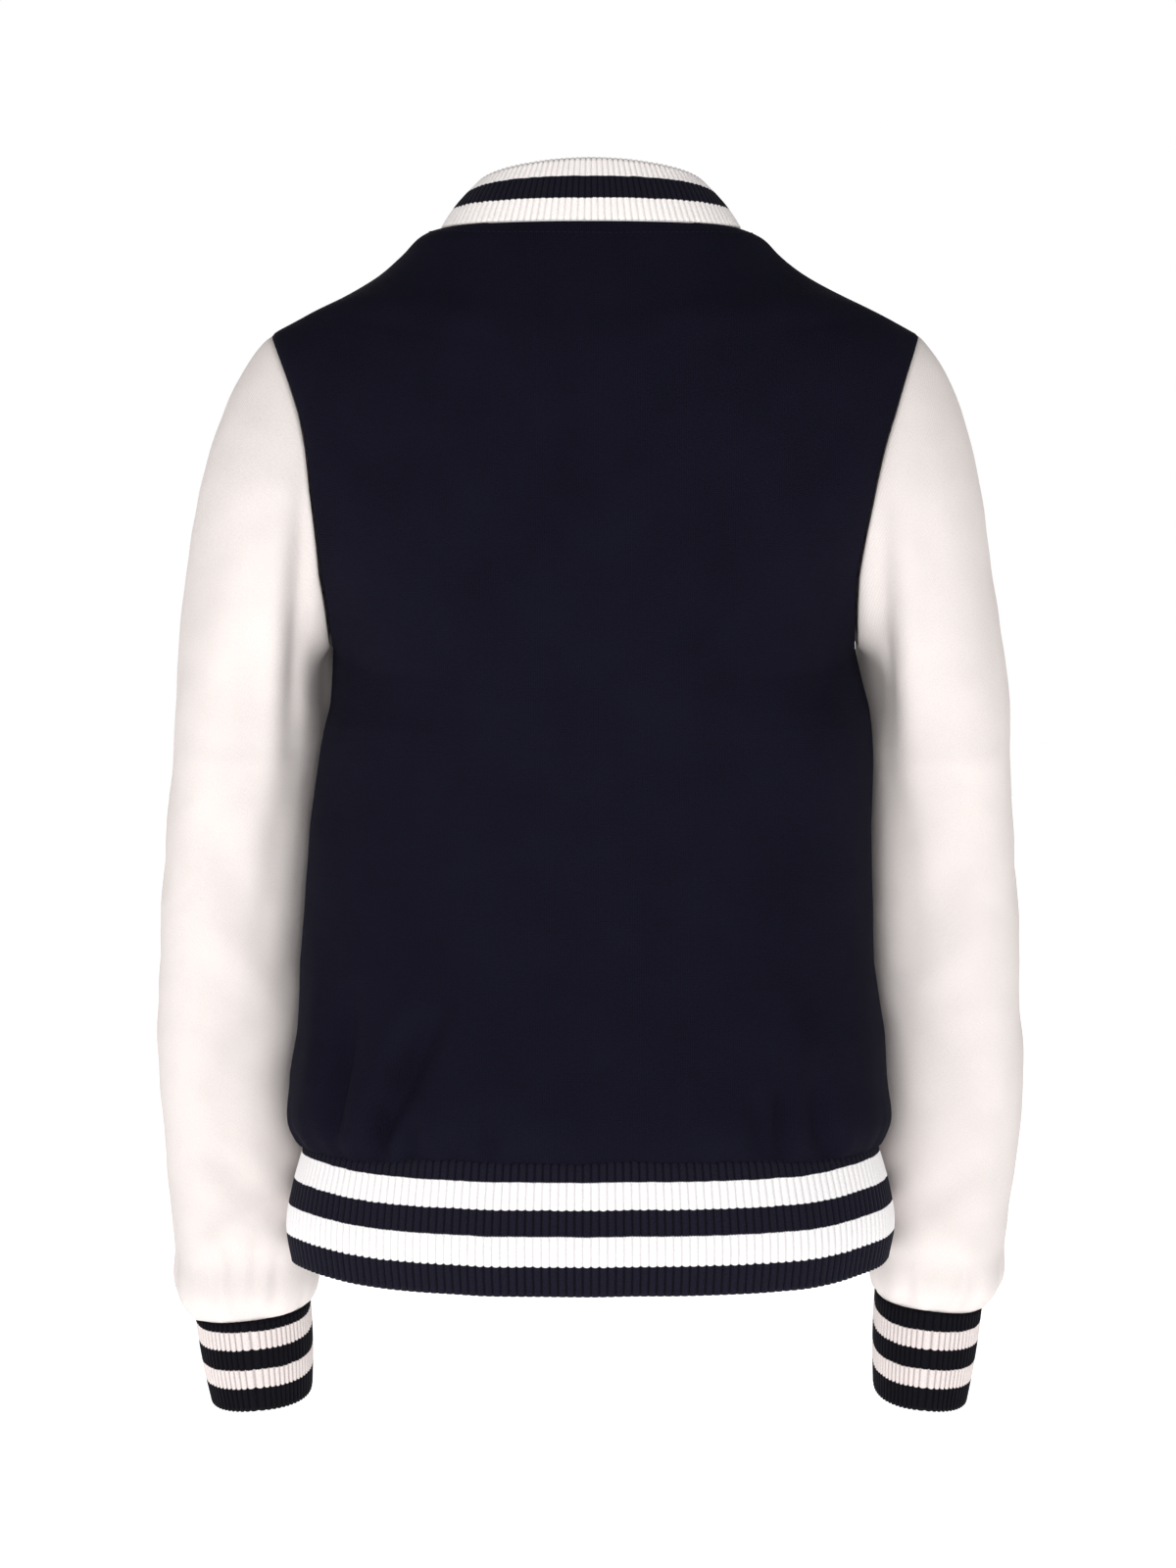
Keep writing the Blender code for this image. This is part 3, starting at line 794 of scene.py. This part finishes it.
SLEEVE_START = np.array([
    # turn round the armhole from the shoulder point, then the way the cloth leaves it
    (0.0, 0.50, 0.00, -0.45),
    (90.0, 0.52, 0.10, -0.58),
    (180.0, 0.80, -0.05, -0.45),
    (270.0, 0.52, -0.12, -0.58),
    (360.0, 0.50, 0.00, -0.45),
])
SLEEVE_ARRIVE = np.array((0.05, 0.0, -0.95))
SLEEVE_COLUMNS = 120
CAP_ROWS = 54
SLEEVE_ROWS = 126
SLEEVE_FOLDS = (
    # facing, across and level of both ends, half width, height, on the left sleeve
    ("back", 160.0, -130.0, 172.0, -300.0, 7.0, -5.0),
    ("back", 178.0, -150.0, 184.0, -330.0, 9.0, 3.0),
    ("back", 196.0, -120.0, 214.0, -300.0, 16.0, 2.2),
    ("back", 170.0, -300.0, 192.0, -420.0, 10.0, -2.2),
    ("back", 232.0, -330.0, 196.0, -392.0, 12.0, -2.6),
    ("back", 236.0, -384.0, 190.0, -440.0, 11.0, 2.0),
    ("back", 178.0, -452.0, 234.0, -506.0, 11.0, -2.4),
    ("back", 236.0, -530.0, 188.0, -572.0, 10.0, -2.4),
    ("back", 180.0, -560.0, 232.0, -604.0, 9.0, 2.6),
    ("back", 196.0, -596.0, 203.0, -644.0, 5.0, -3.6),
    ("back", 214.0, -590.0, 209.0, -644.0, 5.0, -3.0),
    ("back", 228.0, -602.0, 223.0, -644.0, 5.0, -3.2),
    ("back", 184.0, -602.0, 190.0, -644.0, 5.0, -3.0),
    ("left", -20.0, -90.0, -34.0, -260.0, 14.0, -1.4),
    ("left", -60.0, -330.0, 0.0, -392.0, 12.0, -1.3),
    ("left", -86.0, -440.0, -20.0, -500.0, 12.0, 1.2),
    ("left", -70.0, -590.0, -72.0, -644.0, 6.0, -3.0),
    ("left", -92.0, -600.0, -88.0, -644.0, 6.0, -3.0),
    ("left", -48.0, -596.0, -56.0, -644.0, 6.0, -3.2),
    ("right", -30.0, -300.0, -60.0, -420.0, 14.0, -2.2),
    ("right", -46.0, -205.0, -50.0, -345.0, 26.0, 17.0),
    ("front", 176.0, -150.0, 190.0, -290.0, 10.0, -4.0),
    ("front", 236.0, -320.0, 182.0, -372.0, 12.0, -3.0),
    ("front", 178.0, -372.0, 236.0, -424.0, 11.0, 2.4),
    ("front", 184.0, -450.0, 236.0, -500.0, 12.0, -2.6),
    ("front", 196.0, -598.0, 200.0, -644.0, 5.0, -3.2),
    ("front", 216.0, -594.0, 213.0, -644.0, 5.0, -3.2),
)


def rounded(size, wave):
    """Half a ring's width or depth, a little squarer than a sine or cosine gives it."""
    return size * np.sign(wave) * np.abs(wave) ** SLEEVE_POWER


def section(size, turns):
    """Squarish oval ring of a sleeve, which leans forwards and is lower on its outer side."""
    level, middle_x, middle_y, half_width, half_depth, tilt, droop = size
    lean = math.radians(tilt)
    wide = rounded(half_width, np.cos(turns))
    deep = rounded(half_depth, np.sin(turns))
    return np.column_stack((
        middle_x + wide,
        middle_y + deep * math.cos(lean),
        level - deep * math.sin(lean) - wide * droop,
    ))


def sleeve_points():
    """The left sleeve from the cuff seam up to the armhole, starting at its outer side."""
    half_round = SLEEVE_COLUMNS // 2
    back_edge = [edge(2 - spot / half_round, "back") for spot in range(half_round)]
    front_edge = [edge(1 + spot / half_round, "front") for spot in range(half_round)]
    armhole = np.array(back_edge + front_edge)
    turns = np.arange(SLEEVE_COLUMNS) * math.pi / half_round
    first = section(SLEEVE[0], turns)
    reach = np.linalg.norm(first - armhole, axis=1, keepdims=True)
    start = np.array([
        [smooth(SLEEVE_START, math.degrees(turn), column) for column in (1, 2, 3)]
        for turn in turns
    ])
    rows = []
    for spot in range(CAP_ROWS):
        part = spot / CAP_ROWS
        rows.append(
            (2 * part**3 - 3 * part**2 + 1) * armhole
            + (part**3 - 2 * part**2 + part) * start * reach
            + (3 * part**2 - 2 * part**3) * first
            + (part**3 - part**2) * SLEEVE_ARRIVE * reach
        )
    drop = -SLEEVE[:, 0]
    table = np.column_stack((drop, SLEEVE))
    for level in np.linspace(drop[0], drop[-1], SLEEVE_ROWS):
        rows.append(section([smooth(table, level, column) for column in range(1, 8)], turns))
    return np.array(rows[::-1])


def ring_lengths(grid):
    """Lengths round and up a tube in millimetres."""
    round_it = np.linalg.norm(np.diff(grid, axis=1), axis=2).mean(axis=0)
    across = np.concatenate(([0.0], np.cumsum(round_it)))
    return np.stack((np.tile(across, (grid.shape[0], 1)), lengths_up(grid)), axis=-1)


SLEEVE_CRUMPLES = (
    # wavelength, depth, shift of the seed, stretch of the waves
    (60.0, 2.4, 0.0, (1.0, 1.0, 0.8)),
    (21.0, 0.7, 5.0, (1.0, 1.0, 1.0)),
)
SLEEVE_SEAM = (1.0, 2.4)  # depth, width
# Pinches above the cuff: their spacing, their depth and how far up they reach.
PINCH_SPACING = 8.0
PINCH_DEPTH = 5.0
PINCH_REACH = 15.0


def sleeve_finish(grid, folds, seed):
    """Folds, pinches above the cuff and sunk armhole seam of a sleeve."""
    base = swayed(grid)
    normals = outward(base, True)
    near = seam_distance(base, rows=(0, -1))
    grid = creased(base, normals, folds, SLEEVE_CRUMPLES, near, seed)
    away = Vector((seed, 0, 0))
    waves = [noise.noise(Vector(point / PINCH_SPACING) + away) for point in base[0]]
    grid = gathered(grid, base, normals, waves, PINCH_DEPTH, PINCH_REACH)
    return sunk_seams(grid, normals, near, *SLEEVE_SEAM)


RIGHT_RISE = 6.0
RIGHT_MIDDLE = -201.0
RIGHT_NARROWING = 0.07
RAISED = np.array([
    # z, share of the rise
    (-700.0, 0.0),
    (-650.0, 1.0),
    (-560.0, 0.0),
])
NARROWED = np.array([
    # z, share of the narrowing
    (-690.0, 1.0),
    (-640.0, 1.0),
    (-590.0, 0.0),
])


def drawn_up(grid):
    """The right sleeve's end, which sits a little higher and closer than the left one's."""
    moved = grid.copy()
    moved[..., 2] += RIGHT_RISE * np.interp(grid[..., 2], *RAISED.T)
    narrow = np.interp(grid[..., 2], *NARROWED.T)
    moved[..., 0] += (RIGHT_MIDDLE - grid[..., 0]) * RIGHT_NARROWING * narrow
    return moved


OTHER_SIDE = {"left": "right", "right": "left"}
RIGHT_FOLD_WIDTH = 1.12
RIGHT_FOLD_HEIGHT = 0.9


def right_fold(fold):
    """A left sleeve's fold on the right sleeve, moved a little, wider and less deep."""
    facing, across_0, level_0, across_1, level_1, half_width, height = fold
    if facing in OTHER_SIDE:
        line = (across_0 + 4.0, level_0 - 12.0, across_1, level_1 - 4.0)
    else:
        line = (-across_0 - 3.0, level_0 - 9.0, -across_1 + 2.0, level_1 - 6.0)
    size = (half_width * RIGHT_FOLD_WIDTH, height * RIGHT_FOLD_HEIGHT)
    return (OTHER_SIDE.get(facing, facing), *line, *size)


sleeve_grid = sleeve_points()
SLEEVES = (
    # name, CAD node, side, seed
    ("sleeve_cloth_left", "sleeve_left", 1, 23.7),
    ("sleeve_cloth_right", "sleeve_right", -1, 31.1),
)
for name, stands_for, side, seed in SLEEVES:
    grid = sleeve_grid
    folds = SLEEVE_FOLDS
    if side < 0:
        grid = drawn_up(mirrored(sleeve_grid))
        folds = [right_fold(fold) for fold in SLEEVE_FOLDS]
    lengths = ring_lengths(grid)
    grid = sleeve_finish(grid, folds, seed)
    piece = sewn(name, grid, lengths, CLOTH_WALL, CREAM_CLOTH, wraps=True)
    hand_in(piece, stands_for)

# ---------------------------------------------------------------------------
# Rib cuffs
# Double-layer elastic cotton rib, navy with two cream stripes. Each cuff is a short tube
# sewn to the sleeve's gathered end and open at the hand.
# ---------------------------------------------------------------------------

RIB_WALL = 2.0
RIB_STEPS = 8
RIB_DEPTH = 1.0
RIB_BULGE = 0.25
GROOVE_WIDTH = 0.15
WALES_A_RIB = 3
COURSE_MM = 1.1
STRIPE_TAB = 0.55
STRIPE_JAG = 0.45


def ribbed(grid, wraps, phase):
    """Raises the knitted ribs on a smooth band; phase counts ribs along the columns."""
    part = phase % 1.0
    from_groove = np.minimum(part, 1 - part)
    groove = np.exp(-(from_groove / GROOVE_WIDTH) ** 2)
    profile = RIB_BULGE * np.sin(part * math.pi) - RIB_DEPTH * groove
    return grid + outward(grid, wraps) * profile[None, :, None]


def wales(tree, phase):
    """Zigzag over the fine wales of a rib, from 0 between two of them to 0.5 on one."""
    fine = arithmetic(tree, "MULTIPLY", phase, float(WALES_A_RIB))
    return arithmetic(tree, "PINGPONG", fine, 0.5)


def stripe(tree, phase, up, low, high):
    """One knitted stripe: rounded tabs at its lower edge and a finely stepped upper edge."""
    far = arithmetic(tree, "ABSOLUTE", arithmetic(tree, "SUBTRACT", phase, 0.5))
    curved = arithmetic(tree, "POWER", far, 2.2)
    bottom = arithmetic(tree, "MULTIPLY_ADD", curved, STRIPE_TAB * 4.6, low)
    top = arithmetic(tree, "MULTIPLY_ADD", wales(tree, phase), -STRIPE_JAG * 2, high + STRIPE_JAG)
    above = arithmetic(tree, "SUBTRACT", up, bottom)
    below = arithmetic(tree, "SUBTRACT", top, up)
    inside = arithmetic(tree, "MINIMUM", above, below)
    soft = node(
        tree, "ShaderNodeMapRange", {"From Min": -0.15, "From Max": 0.25}, {"Value": inside},
    )
    return soft.outputs["Result"]


def with_painted_groove_shade(tree, nap, half_rib, low, high, groove):
    """Yarn colour with its nap, darkened towards the grooves between the ribs by painted shade."""
    tone = ramp(tree, nap, low, high, start=0.3, stop=0.7)
    # Painted shade: the yarn colour is multiplied down near each groove, where the ribs shade it;
    # groove is the share of colour left there.
    shade = node(
        tree, "ShaderNodeMapRange",
        {"From Min": 0.0, "From Max": 0.2, "To Min": groove, "To Max": 1.0},
        {"Value": half_rib},
        interpolation_type="SMOOTHSTEP",
    )
    shaded = node(
        tree, "ShaderNodeMix",
        {"Factor": 1.0}, {6: tone.outputs["Color"], 7: shade.outputs["Result"]},
        data_type="RGBA", blend_type="MULTIPLY",
    )
    return shaded.outputs[2]


def knitted_rib(name, pitch, stripes, dark, pale):
    """Striped rib knit: columns of fine wales on each rib, with painted shade in the grooves
    between them.
    """
    made, tree = new_material(name)
    place = in_millimetres(tree)
    apart = node(tree, "ShaderNodeSeparateXYZ", links={"Vector": place})
    phase = arithmetic(tree, "FRACT", arithmetic(tree, "MULTIPLY", apart.outputs["X"], 1 / pitch))
    loose = node(tree, "ShaderNodeTexNoise", {"Scale": 0.12, "Detail": 2.0}, {"Vector": place})
    wander = arithmetic(tree, "MULTIPLY_ADD", loose.outputs["Fac"], 1.2, -0.6)
    up = arithmetic(tree, "ADD", apart.outputs["Y"], wander)
    masks = [stripe(tree, phase, up, low, high) for low, high in stripes]
    both = arithmetic(tree, "MAXIMUM", *masks)
    nap = node(tree, "ShaderNodeTexNoise", {"Scale": 1.1, "Detail": 4.0}, {"Vector": place})
    half_rib = arithmetic(tree, "PINGPONG", phase, 0.5)
    colours = [with_painted_groove_shade(tree, nap.outputs["Fac"], half_rib, *yarn) for yarn in (dark, pale)]
    striped = node(
        tree, "ShaderNodeMix", links={"Factor": both, 6: colours[0], 7: colours[1]},
        data_type="RGBA",
    )
    courses = bands(tree, place, "Y", COURSE_MM, {"Distortion": 0.8, "Detail": 1.0})
    knit = arithmetic(tree, "MULTIPLY_ADD", courses.outputs["Fac"], 0.5, wales(tree, phase))
    relief = node(
        tree, "ShaderNodeBump", {"Strength": 0.45, "Distance": 0.35 * MM}, {"Height": knit},
    )
    shader = node(
        tree, "ShaderNodeBsdfPrincipled",
        {
            "Roughness": 0.9,
            "Sheen Weight": 0.02,
            "Sheen Roughness": 0.5,
            "Specular IOR Level": 0.08,
        },
        {"Base Color": striped.outputs[2], "Normal": relief.outputs["Normal"]},
    )
    shown(tree, shader)
    return made


def rib_lengths(grid, pitch):
    """Lengths of a ribbed band: ribs counted along it, and the height up each column."""
    across = np.arange(grid.shape[1]) * pitch / RIB_STEPS
    return np.stack((np.tile(across, (grid.shape[0], 1)), lengths_up(grid)), axis=-1)


# The hand end's ring, in the columns of the sleeve's table.
CUFF_END = (-694.5, 198.8, -82.0, 30.2, 33.0, 12.0, 0.09)
CUFF_SWELL = 0.9
CUFF_RIBS = 64
CUFF_PITCH = 3.4
CUFF_ROWS = 22
CUFF_STRIPES = ((15.0, 27.0), (40.0, 51.5))
# Yarns: low and high colour, then the share of colour left in the grooves by painted shade.
CUFF_RIB = knitted_rib(
    "striped_cuff_rib", CUFF_PITCH, CUFF_STRIPES,
    dark=("#08080d", "#110f17", 0.5),
    pale=("#d3c9c7", "#e6dcd9", 0.62),
)
turns = np.arange(CUFF_RIBS * RIB_STEPS) * 2 * math.pi / (CUFF_RIBS * RIB_STEPS)
cuff_top = section(SLEEVE[-1], turns)
cuff_end = section(CUFF_END, turns)
cuff_rows = []
for part in np.linspace(1, 0, CUFF_ROWS + 1):
    ring = cuff_top + (cuff_end - cuff_top) * part
    away = unit((ring - ring.mean(axis=0)) * np.array((1.0, 1.0, 0.0)))
    cuff_rows.append(ring + away * math.sin(part * math.pi) * CUFF_SWELL)
left_cuff = np.array(cuff_rows)
CUFFS = (
    # name, CAD node, smooth grid
    ("rib_cuff_left", "cuff_left", left_cuff),
    ("rib_cuff_right", "cuff_right", drawn_up(mirrored(left_cuff))),
)
for name, stands_for, base in CUFFS:
    grid = ribbed(base, True, np.arange(base.shape[1]) / RIB_STEPS)
    lengths = rib_lengths(base, CUFF_PITCH)
    piece = sewn(name, grid, lengths, RIB_WALL, CUFF_RIB, wraps=True, base=base)
    hand_in(piece, stands_for)

# ---------------------------------------------------------------------------
# Hem band
# One long strip of heavier striped rib round the hips, sewn to the body's hem seam. Its ends
# lie one over the other at the centre front, where the lowest snap holds them.
# ---------------------------------------------------------------------------

HEM_BAND = np.array([
    # height below the seam as a part of the band, growth of the ring
    (0.00, 0.0),
    (0.35, 3.4),
    (0.70, 5.0),
    (1.00, 3.2),
])
# Share of that growth all round, and what the two sides add to it.
HEM_FLARE = (0.8, 0.8)
RIGHT_FLARE = 1.3
HEM_HEIGHT_BACK = 74.0
HEM_HEIGHT_SIDE = 65.0
HEM_PITCH = 4.5
HEM_ROWS = 22
SEAM_TUCK = 2.6
SEAM_ALLOWANCE = 4.0
HEM_STRIPES = ((17.0, 34.0), (49.0, 64.5))
HEM_MIDDLE = np.array((0.0, 4.0, 0.0))
HEM_WAVES = (
    # length, height, seed
    (60.0, 2.4, 4.4),
    (21.0, 0.8, 9.4),
)
# Yarns: low and high colour, then the share of colour left in the grooves by painted shade.
HEM_RIB = knitted_rib(
    "striped_hem_rib", HEM_PITCH, HEM_STRIPES,
    dark=("#100f19", "#1b1a28", 0.45),
    pale=("#e8e4e4", "#f5f2f3", 0.8),
)


def band_line(height):
    """Line round the body at a seam: under front, back and over front, free edge to free edge."""
    left = front_points(height, True)
    behind = body_row(height, FINE_PARTS, "back")[1:-1]
    right = mirrored(front_points(height, False)[None])[0]
    return np.concatenate((left, behind, right))


hem_line = band_line(0.0)
length = np.linalg.norm(np.diff(hem_line, axis=0), axis=1).sum()
hem_ribs = int(round(length / HEM_PITCH))
hem_top = even(hem_line, np.linspace(0, 1, hem_ribs * RIB_STEPS + 1))
away = unit((hem_top - HEM_MIDDLE) * np.array((1.0, 1.0, 0.0)))
drop = HEM_HEIGHT_BACK + (HEM_HEIGHT_SIDE - HEM_HEIGHT_BACK) * np.abs(away[:, 0]) ** 8
sided = np.abs(away[:, 0]) ** 4 * np.where(away[:, 0] < 0, RIGHT_FLARE, 1.0)
flare = HEM_FLARE[0] + HEM_FLARE[1] * sided
rows = []
for part in np.linspace(1, 0, HEM_ROWS + 1):
    row = hem_top + away * (smooth(HEM_BAND, part, 1) * flare)[:, None]
    row[:, 2] -= drop * part
    rows.append(row)
tucked = hem_top - away * SEAM_TUCK
tucked[:, 2] += SEAM_ALLOWANCE
rows.append(tucked)
hem_base = swayed(np.array(rows))
hem_wave = np.array([
    sum(noise.noise(Vector((*point[:2] / length, seed))) * height
        for length, height, seed in HEM_WAVES)
    for point in hem_base[0]
])
# The waves start at nothing at the seam, and are fullest a little above the band's edge.
settle = np.sin(np.linspace(0, 1, HEM_ROWS + 1)[::-1] * math.pi * 0.62) ** 1.4
settle = np.concatenate((settle, [0.0]))
hem_base = hem_base + outward(hem_base, False) * (hem_wave[None, :] * settle[:, None])[..., None]
hem_grid = ribbed(hem_base, False, np.arange(hem_base.shape[1]) / RIB_STEPS)
hem_lengths = rib_lengths(hem_base, HEM_PITCH)
hem = sewn("rib_hem_band", hem_grid, hem_lengths, RIB_WALL, HEM_RIB, base=hem_base)
hand_in(hem, "hem_band")

# ---------------------------------------------------------------------------
# Collar
# Low stand collar of the striped rib, sewn to the neck seam. It leans inwards to the neck,
# and its two ends meet edge to edge at the centre front.
# ---------------------------------------------------------------------------

COLLAR_TOP = np.array([
    # turn from the centre back, y, z
    (-45.0, 38.5, 31.8),
    (0.0, 53.0, 36.7),
    (45.0, 38.5, 31.8),
    (70.0, 14.0, 26.6),
    (90.0, -6.0, 21.0),
    (135.0, -50.0, -9.0),
    (180.0, -68.0, -30.0),
])
COLLAR_TOP_HALF = 67.0
COLLAR_END_GAP = 1.6
COLLAR_SWELL = 1.6
COLLAR_PITCH = 3.9
COLLAR_ROWS = 16
COLLAR_STRIPES = ((-4.0, 12.5), (25.5, 44.0))
# Yarns: low and high colour, then the share of colour left in the grooves by painted shade.
COLLAR_RIB = knitted_rib(
    "striped_collar_rib", COLLAR_PITCH, COLLAR_STRIPES,
    dark=("#0f0e18", "#191824", 0.45),
    pale=("#e6e0dd", "#f4efed", 0.84),
)


def collar_line():
    """The neck seam from the left front's centre line round the neck, with its turns."""
    sides = []
    for under in (True, False):
        points = front_points(3.0, under)
        points = points[points[:, 0] > 0]
        points[0, 0] = 0.0
        sides.append(points)
    behind = body_row(3.0, FINE_PARTS, "back")[1:-1]
    right = mirrored(sides[1][None])[0]
    left_turns = np.linspace(180, 90, len(sides[0]))
    back_turns = np.linspace(90, -90, len(behind) + 2)[1:-1]
    right_turns = np.linspace(-90, -180, len(right))
    line = np.concatenate((sides[0], behind, right))
    return line, np.concatenate((left_turns, back_turns, right_turns))


neck_line, neck_turns = collar_line()
steps = np.linalg.norm(np.diff(neck_line, axis=0), axis=1)
run = np.concatenate(([0.0], np.cumsum(steps)))
collar_ribs = int(round(run[-1] / COLLAR_PITCH))
spots = np.linspace(0, run[-1], collar_ribs * RIB_STEPS + 1)
collar_base_line = np.column_stack([
    np.interp(spots, run, neck_line[:, axis]) for axis in range(3)
])
turns = np.interp(spots, run, neck_turns)
share = np.abs(collar_base_line[:, 0]) / SHOULDER[-1, 1]
collar_top_line = np.column_stack((
    np.sign(turns) * COLLAR_TOP_HALF * share,
    [smooth(COLLAR_TOP, abs(turn), 1) for turn in turns],
    [smooth(COLLAR_TOP, abs(turn), 2) for turn in turns],
))
parts = np.linspace(0, 1, COLLAR_ROWS + 1)[:, None, None]
collar_base = collar_base_line[None] + (collar_top_line - collar_base_line)[None] * parts
for column, side in ((0, 1), (-1, -1)):
    collar_base[1:, column, 0] = side * COLLAR_END_GAP
swell = np.sin(parts * math.pi) * COLLAR_SWELL
collar_base = collar_base + outward(collar_base, False) * swell
collar_grid = ribbed(collar_base, False, np.arange(collar_base.shape[1]) / RIB_STEPS)
collar_lengths = rib_lengths(collar_base, COLLAR_PITCH)
collar = sewn(
    "rib_collar", collar_grid, collar_lengths, RIB_WALL, COLLAR_RIB, base=collar_base,
)
hand_in(collar, "collar")

# ---------------------------------------------------------------------------
# Stitching
# Navy sewing thread, one row of lockstitches round the neck below the collar seam and one
# row down each front edge, which hold the seam allowance and the turned-in edge flat.
# ---------------------------------------------------------------------------

THREAD, tree = new_material("navy_sewing_thread")
twist = node(
    tree, "ShaderNodeTexNoise",
    {"Scale": 2500.0, "Detail": 2.0},
    {"Vector": node(tree, "ShaderNodeTexCoord").outputs["Object"]},
)
tone = ramp(tree, twist.outputs["Fac"], "#0b0b18", "#171729")
shader = node(
    tree, "ShaderNodeBsdfPrincipled",
    {"Roughness": 0.7, "Specular IOR Level": 0.1},
    {"Base Color": tone.outputs["Color"]},
)
shown(tree, shader)
STITCH_PITCH = 3.2
STITCH_LENGTH = 2.3
THREAD_RADIUS = 0.28
STITCH_LIFT = 0.12
NECK_INSET = 8.0
EDGE_INSET = 3.0


def stitch_tree():
    """Geometry node tree that lays one stitch at every pitch along a line of cloth."""
    tree = bpy.data.node_groups.new("lockstitch_row", "GeometryNodeTree")
    inputs = {
        "Seam": "Geometry",
        "Pitch": "Float",
        "Length": "Float",
        "Radius": "Float",
        "Thread": "Material",
    }
    for label, kind in inputs.items():
        tree.interface.new_socket(label, in_out="INPUT", socket_type="NodeSocket" + kind)
    tree.interface.new_socket("Stitches", in_out="OUTPUT", socket_type="NodeSocketGeometry")
    given = node(tree, "NodeGroupInput").outputs
    curve = node(tree, "GeometryNodeMeshToCurve", links={"Mesh": given["Seam"]})
    spaced = node(
        tree, "GeometryNodeCurveToPoints",
        links={"Curve": curve.outputs["Curve"], "Length": given["Pitch"]},
        mode="LENGTH",
    )
    ball = node(
        tree, "GeometryNodeMeshUVSphere", {"Segments": 8, "Rings": 6}, {"Radius": given["Radius"]},
    )
    half_length = arithmetic(tree, "MULTIPLY", given["Length"], 0.5)
    longer = arithmetic(tree, "DIVIDE", half_length, given["Radius"])
    shape = node(tree, "ShaderNodeCombineXYZ", {"X": 1.0, "Y": 1.0}, {"Z": longer})
    uneven = node(
        tree, "FunctionNodeRandomValue", {"Min": -0.06, "Max": 0.06, "Seed": 7},
        data_type="FLOAT",
    )
    slant = node(tree, "ShaderNodeCombineXYZ", links={"Y": uneven.outputs[1]})
    turned = node(
        tree, "FunctionNodeRotateRotation",
        links={"Rotation": spaced.outputs["Rotation"], "Rotate By": slant.outputs["Vector"]},
        rotation_space="LOCAL",
    )
    laid = node(
        tree, "GeometryNodeInstanceOnPoints",
        links={
            "Points": spaced.outputs["Points"],
            "Instance": ball.outputs["Mesh"],
            "Rotation": turned.outputs["Rotation"],
            "Scale": shape.outputs["Vector"],
        },
    )
    real = node(
        tree, "GeometryNodeRealizeInstances", links={"Geometry": laid.outputs["Instances"]},
    )
    soft = node(
        tree, "GeometryNodeSetShadeSmooth", links={"Geometry": real.outputs["Geometry"]},
    )
    painted = node(
        tree, "GeometryNodeSetMaterial",
        links={"Geometry": soft.outputs["Geometry"], "Material": given["Thread"]},
    )
    node(tree, "NodeGroupOutput", links={"Stitches": painted.outputs["Geometry"]})
    return tree


LOCKSTITCH = stitch_tree()


def stitched(name, line):
    """A row of stitches along points on the cloth, kept as its own small piece."""
    mesh = bpy.data.meshes.new(name + "_line")
    steps = [(spot, spot + 1) for spot in range(len(line) - 1)]
    mesh.from_pydata([tuple(point) for point in line * MM], steps, [])
    rail = bpy.data.objects.new(name + "_line", mesh)
    bpy.context.scene.collection.objects.link(rail)
    sewing = rail.modifiers.new("lockstitch_row", "NODES")
    sewing.node_group = LOCKSTITCH
    settings = {
        "Pitch": STITCH_PITCH * MM,
        "Length": STITCH_LENGTH * MM,
        "Radius": THREAD_RADIUS * MM,
        "Thread": THREAD,
    }
    for item in LOCKSTITCH.interface.items_tree:
        if item.in_out == "INPUT" and item.name in settings:
            sewing[item.identifier] = settings[item.name]
    seen = bpy.context.evaluated_depsgraph_get()
    made = bpy.data.meshes.new_from_object(rail.evaluated_get(seen), depsgraph=seen)
    made.name = name
    bpy.data.objects.remove(rail, do_unlink=True)
    piece = bpy.data.objects.new(name, made)
    bpy.context.scene.collection.objects.link(piece)
    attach(piece, "root")


def read_at(inset, run, field):
    """Values of a field a little way in from its first row, one for each column."""
    return np.array([
        [np.interp(inset, run[:, spot], field[:, spot, axis]) for axis in range(3)]
        for spot in range(field.shape[1])
    ])


def line_inside(rows, normals, inset):
    """Points on a panel a little way in from its first row, lifted to lie on the cloth."""
    run = lengths_up(rows)
    return read_at(inset, run, rows) + read_at(inset, run, normals) * STITCH_LIFT


def neck_row(grid):
    """Line of stitches beside a panel's neck seam, its last row."""
    return line_inside(grid[::-1], outward(grid, False)[::-1], NECK_INSET)[3:-3]


def edge_row(grid, free):
    """Line of stitches beside a front's free edge, its first or last column."""
    across = grid.transpose(1, 0, 2)
    normals = outward(grid, False).transpose(1, 0, 2)
    if free == -1:
        across, normals = across[::-1], normals[::-1]
    return line_inside(across, normals, EDGE_INSET)[3:-4]


stitched("neck_stitches_back", neck_row(PANELS["back_panel"]))
for name, free in (("front_panel_left", 0), ("front_panel_right", -1)):
    stitched("neck_stitches_" + name, neck_row(PANELS[name]))
    stitched("edge_stitches_" + name, edge_row(PANELS[name], free))

# ---------------------------------------------------------------------------
# Snaps
# Seven plain press snaps down the front: a smooth cap on the over side and the pronged ring
# of its socket on the inner side, both pressed from brushed nickel silver.
# ---------------------------------------------------------------------------

SNAP_METAL, tree = new_material("brushed_nickel_silver")
brush = node(
    tree, "ShaderNodeTexNoise",
    {"Scale": 900.0, "Detail": 3.0},
    {"Vector": node(tree, "ShaderNodeTexCoord").outputs["Object"]},
).outputs["Fac"]
rough = node(tree, "ShaderNodeMapRange", {"To Min": 0.28, "To Max": 0.42}, {"Value": brush})
dull = ramp(tree, brush, "#a9a8a6", "#cfcecb")
shader = node(
    tree, "ShaderNodeBsdfPrincipled",
    {"Metallic": 1.0},
    {"Base Color": dull.outputs["Color"], "Roughness": rough.outputs["Result"]},
)
shown(tree, shader)
for name, part_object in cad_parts.items():
    if name.startswith("snap_"):
        part_object.data.materials[0] = SNAP_METAL

ON_LEFT = ["neck_stitches_front_panel_left", "edge_stitches_front_panel_left"]
ON_LEFT += [f"snap_ring_{number}" for number in range(1, 7)]
ON_RIGHT = ["neck_stitches_front_panel_right", "edge_stitches_front_panel_right"]
ON_RIGHT += [f"snap_cap_{number}" for number in range(1, 7)]
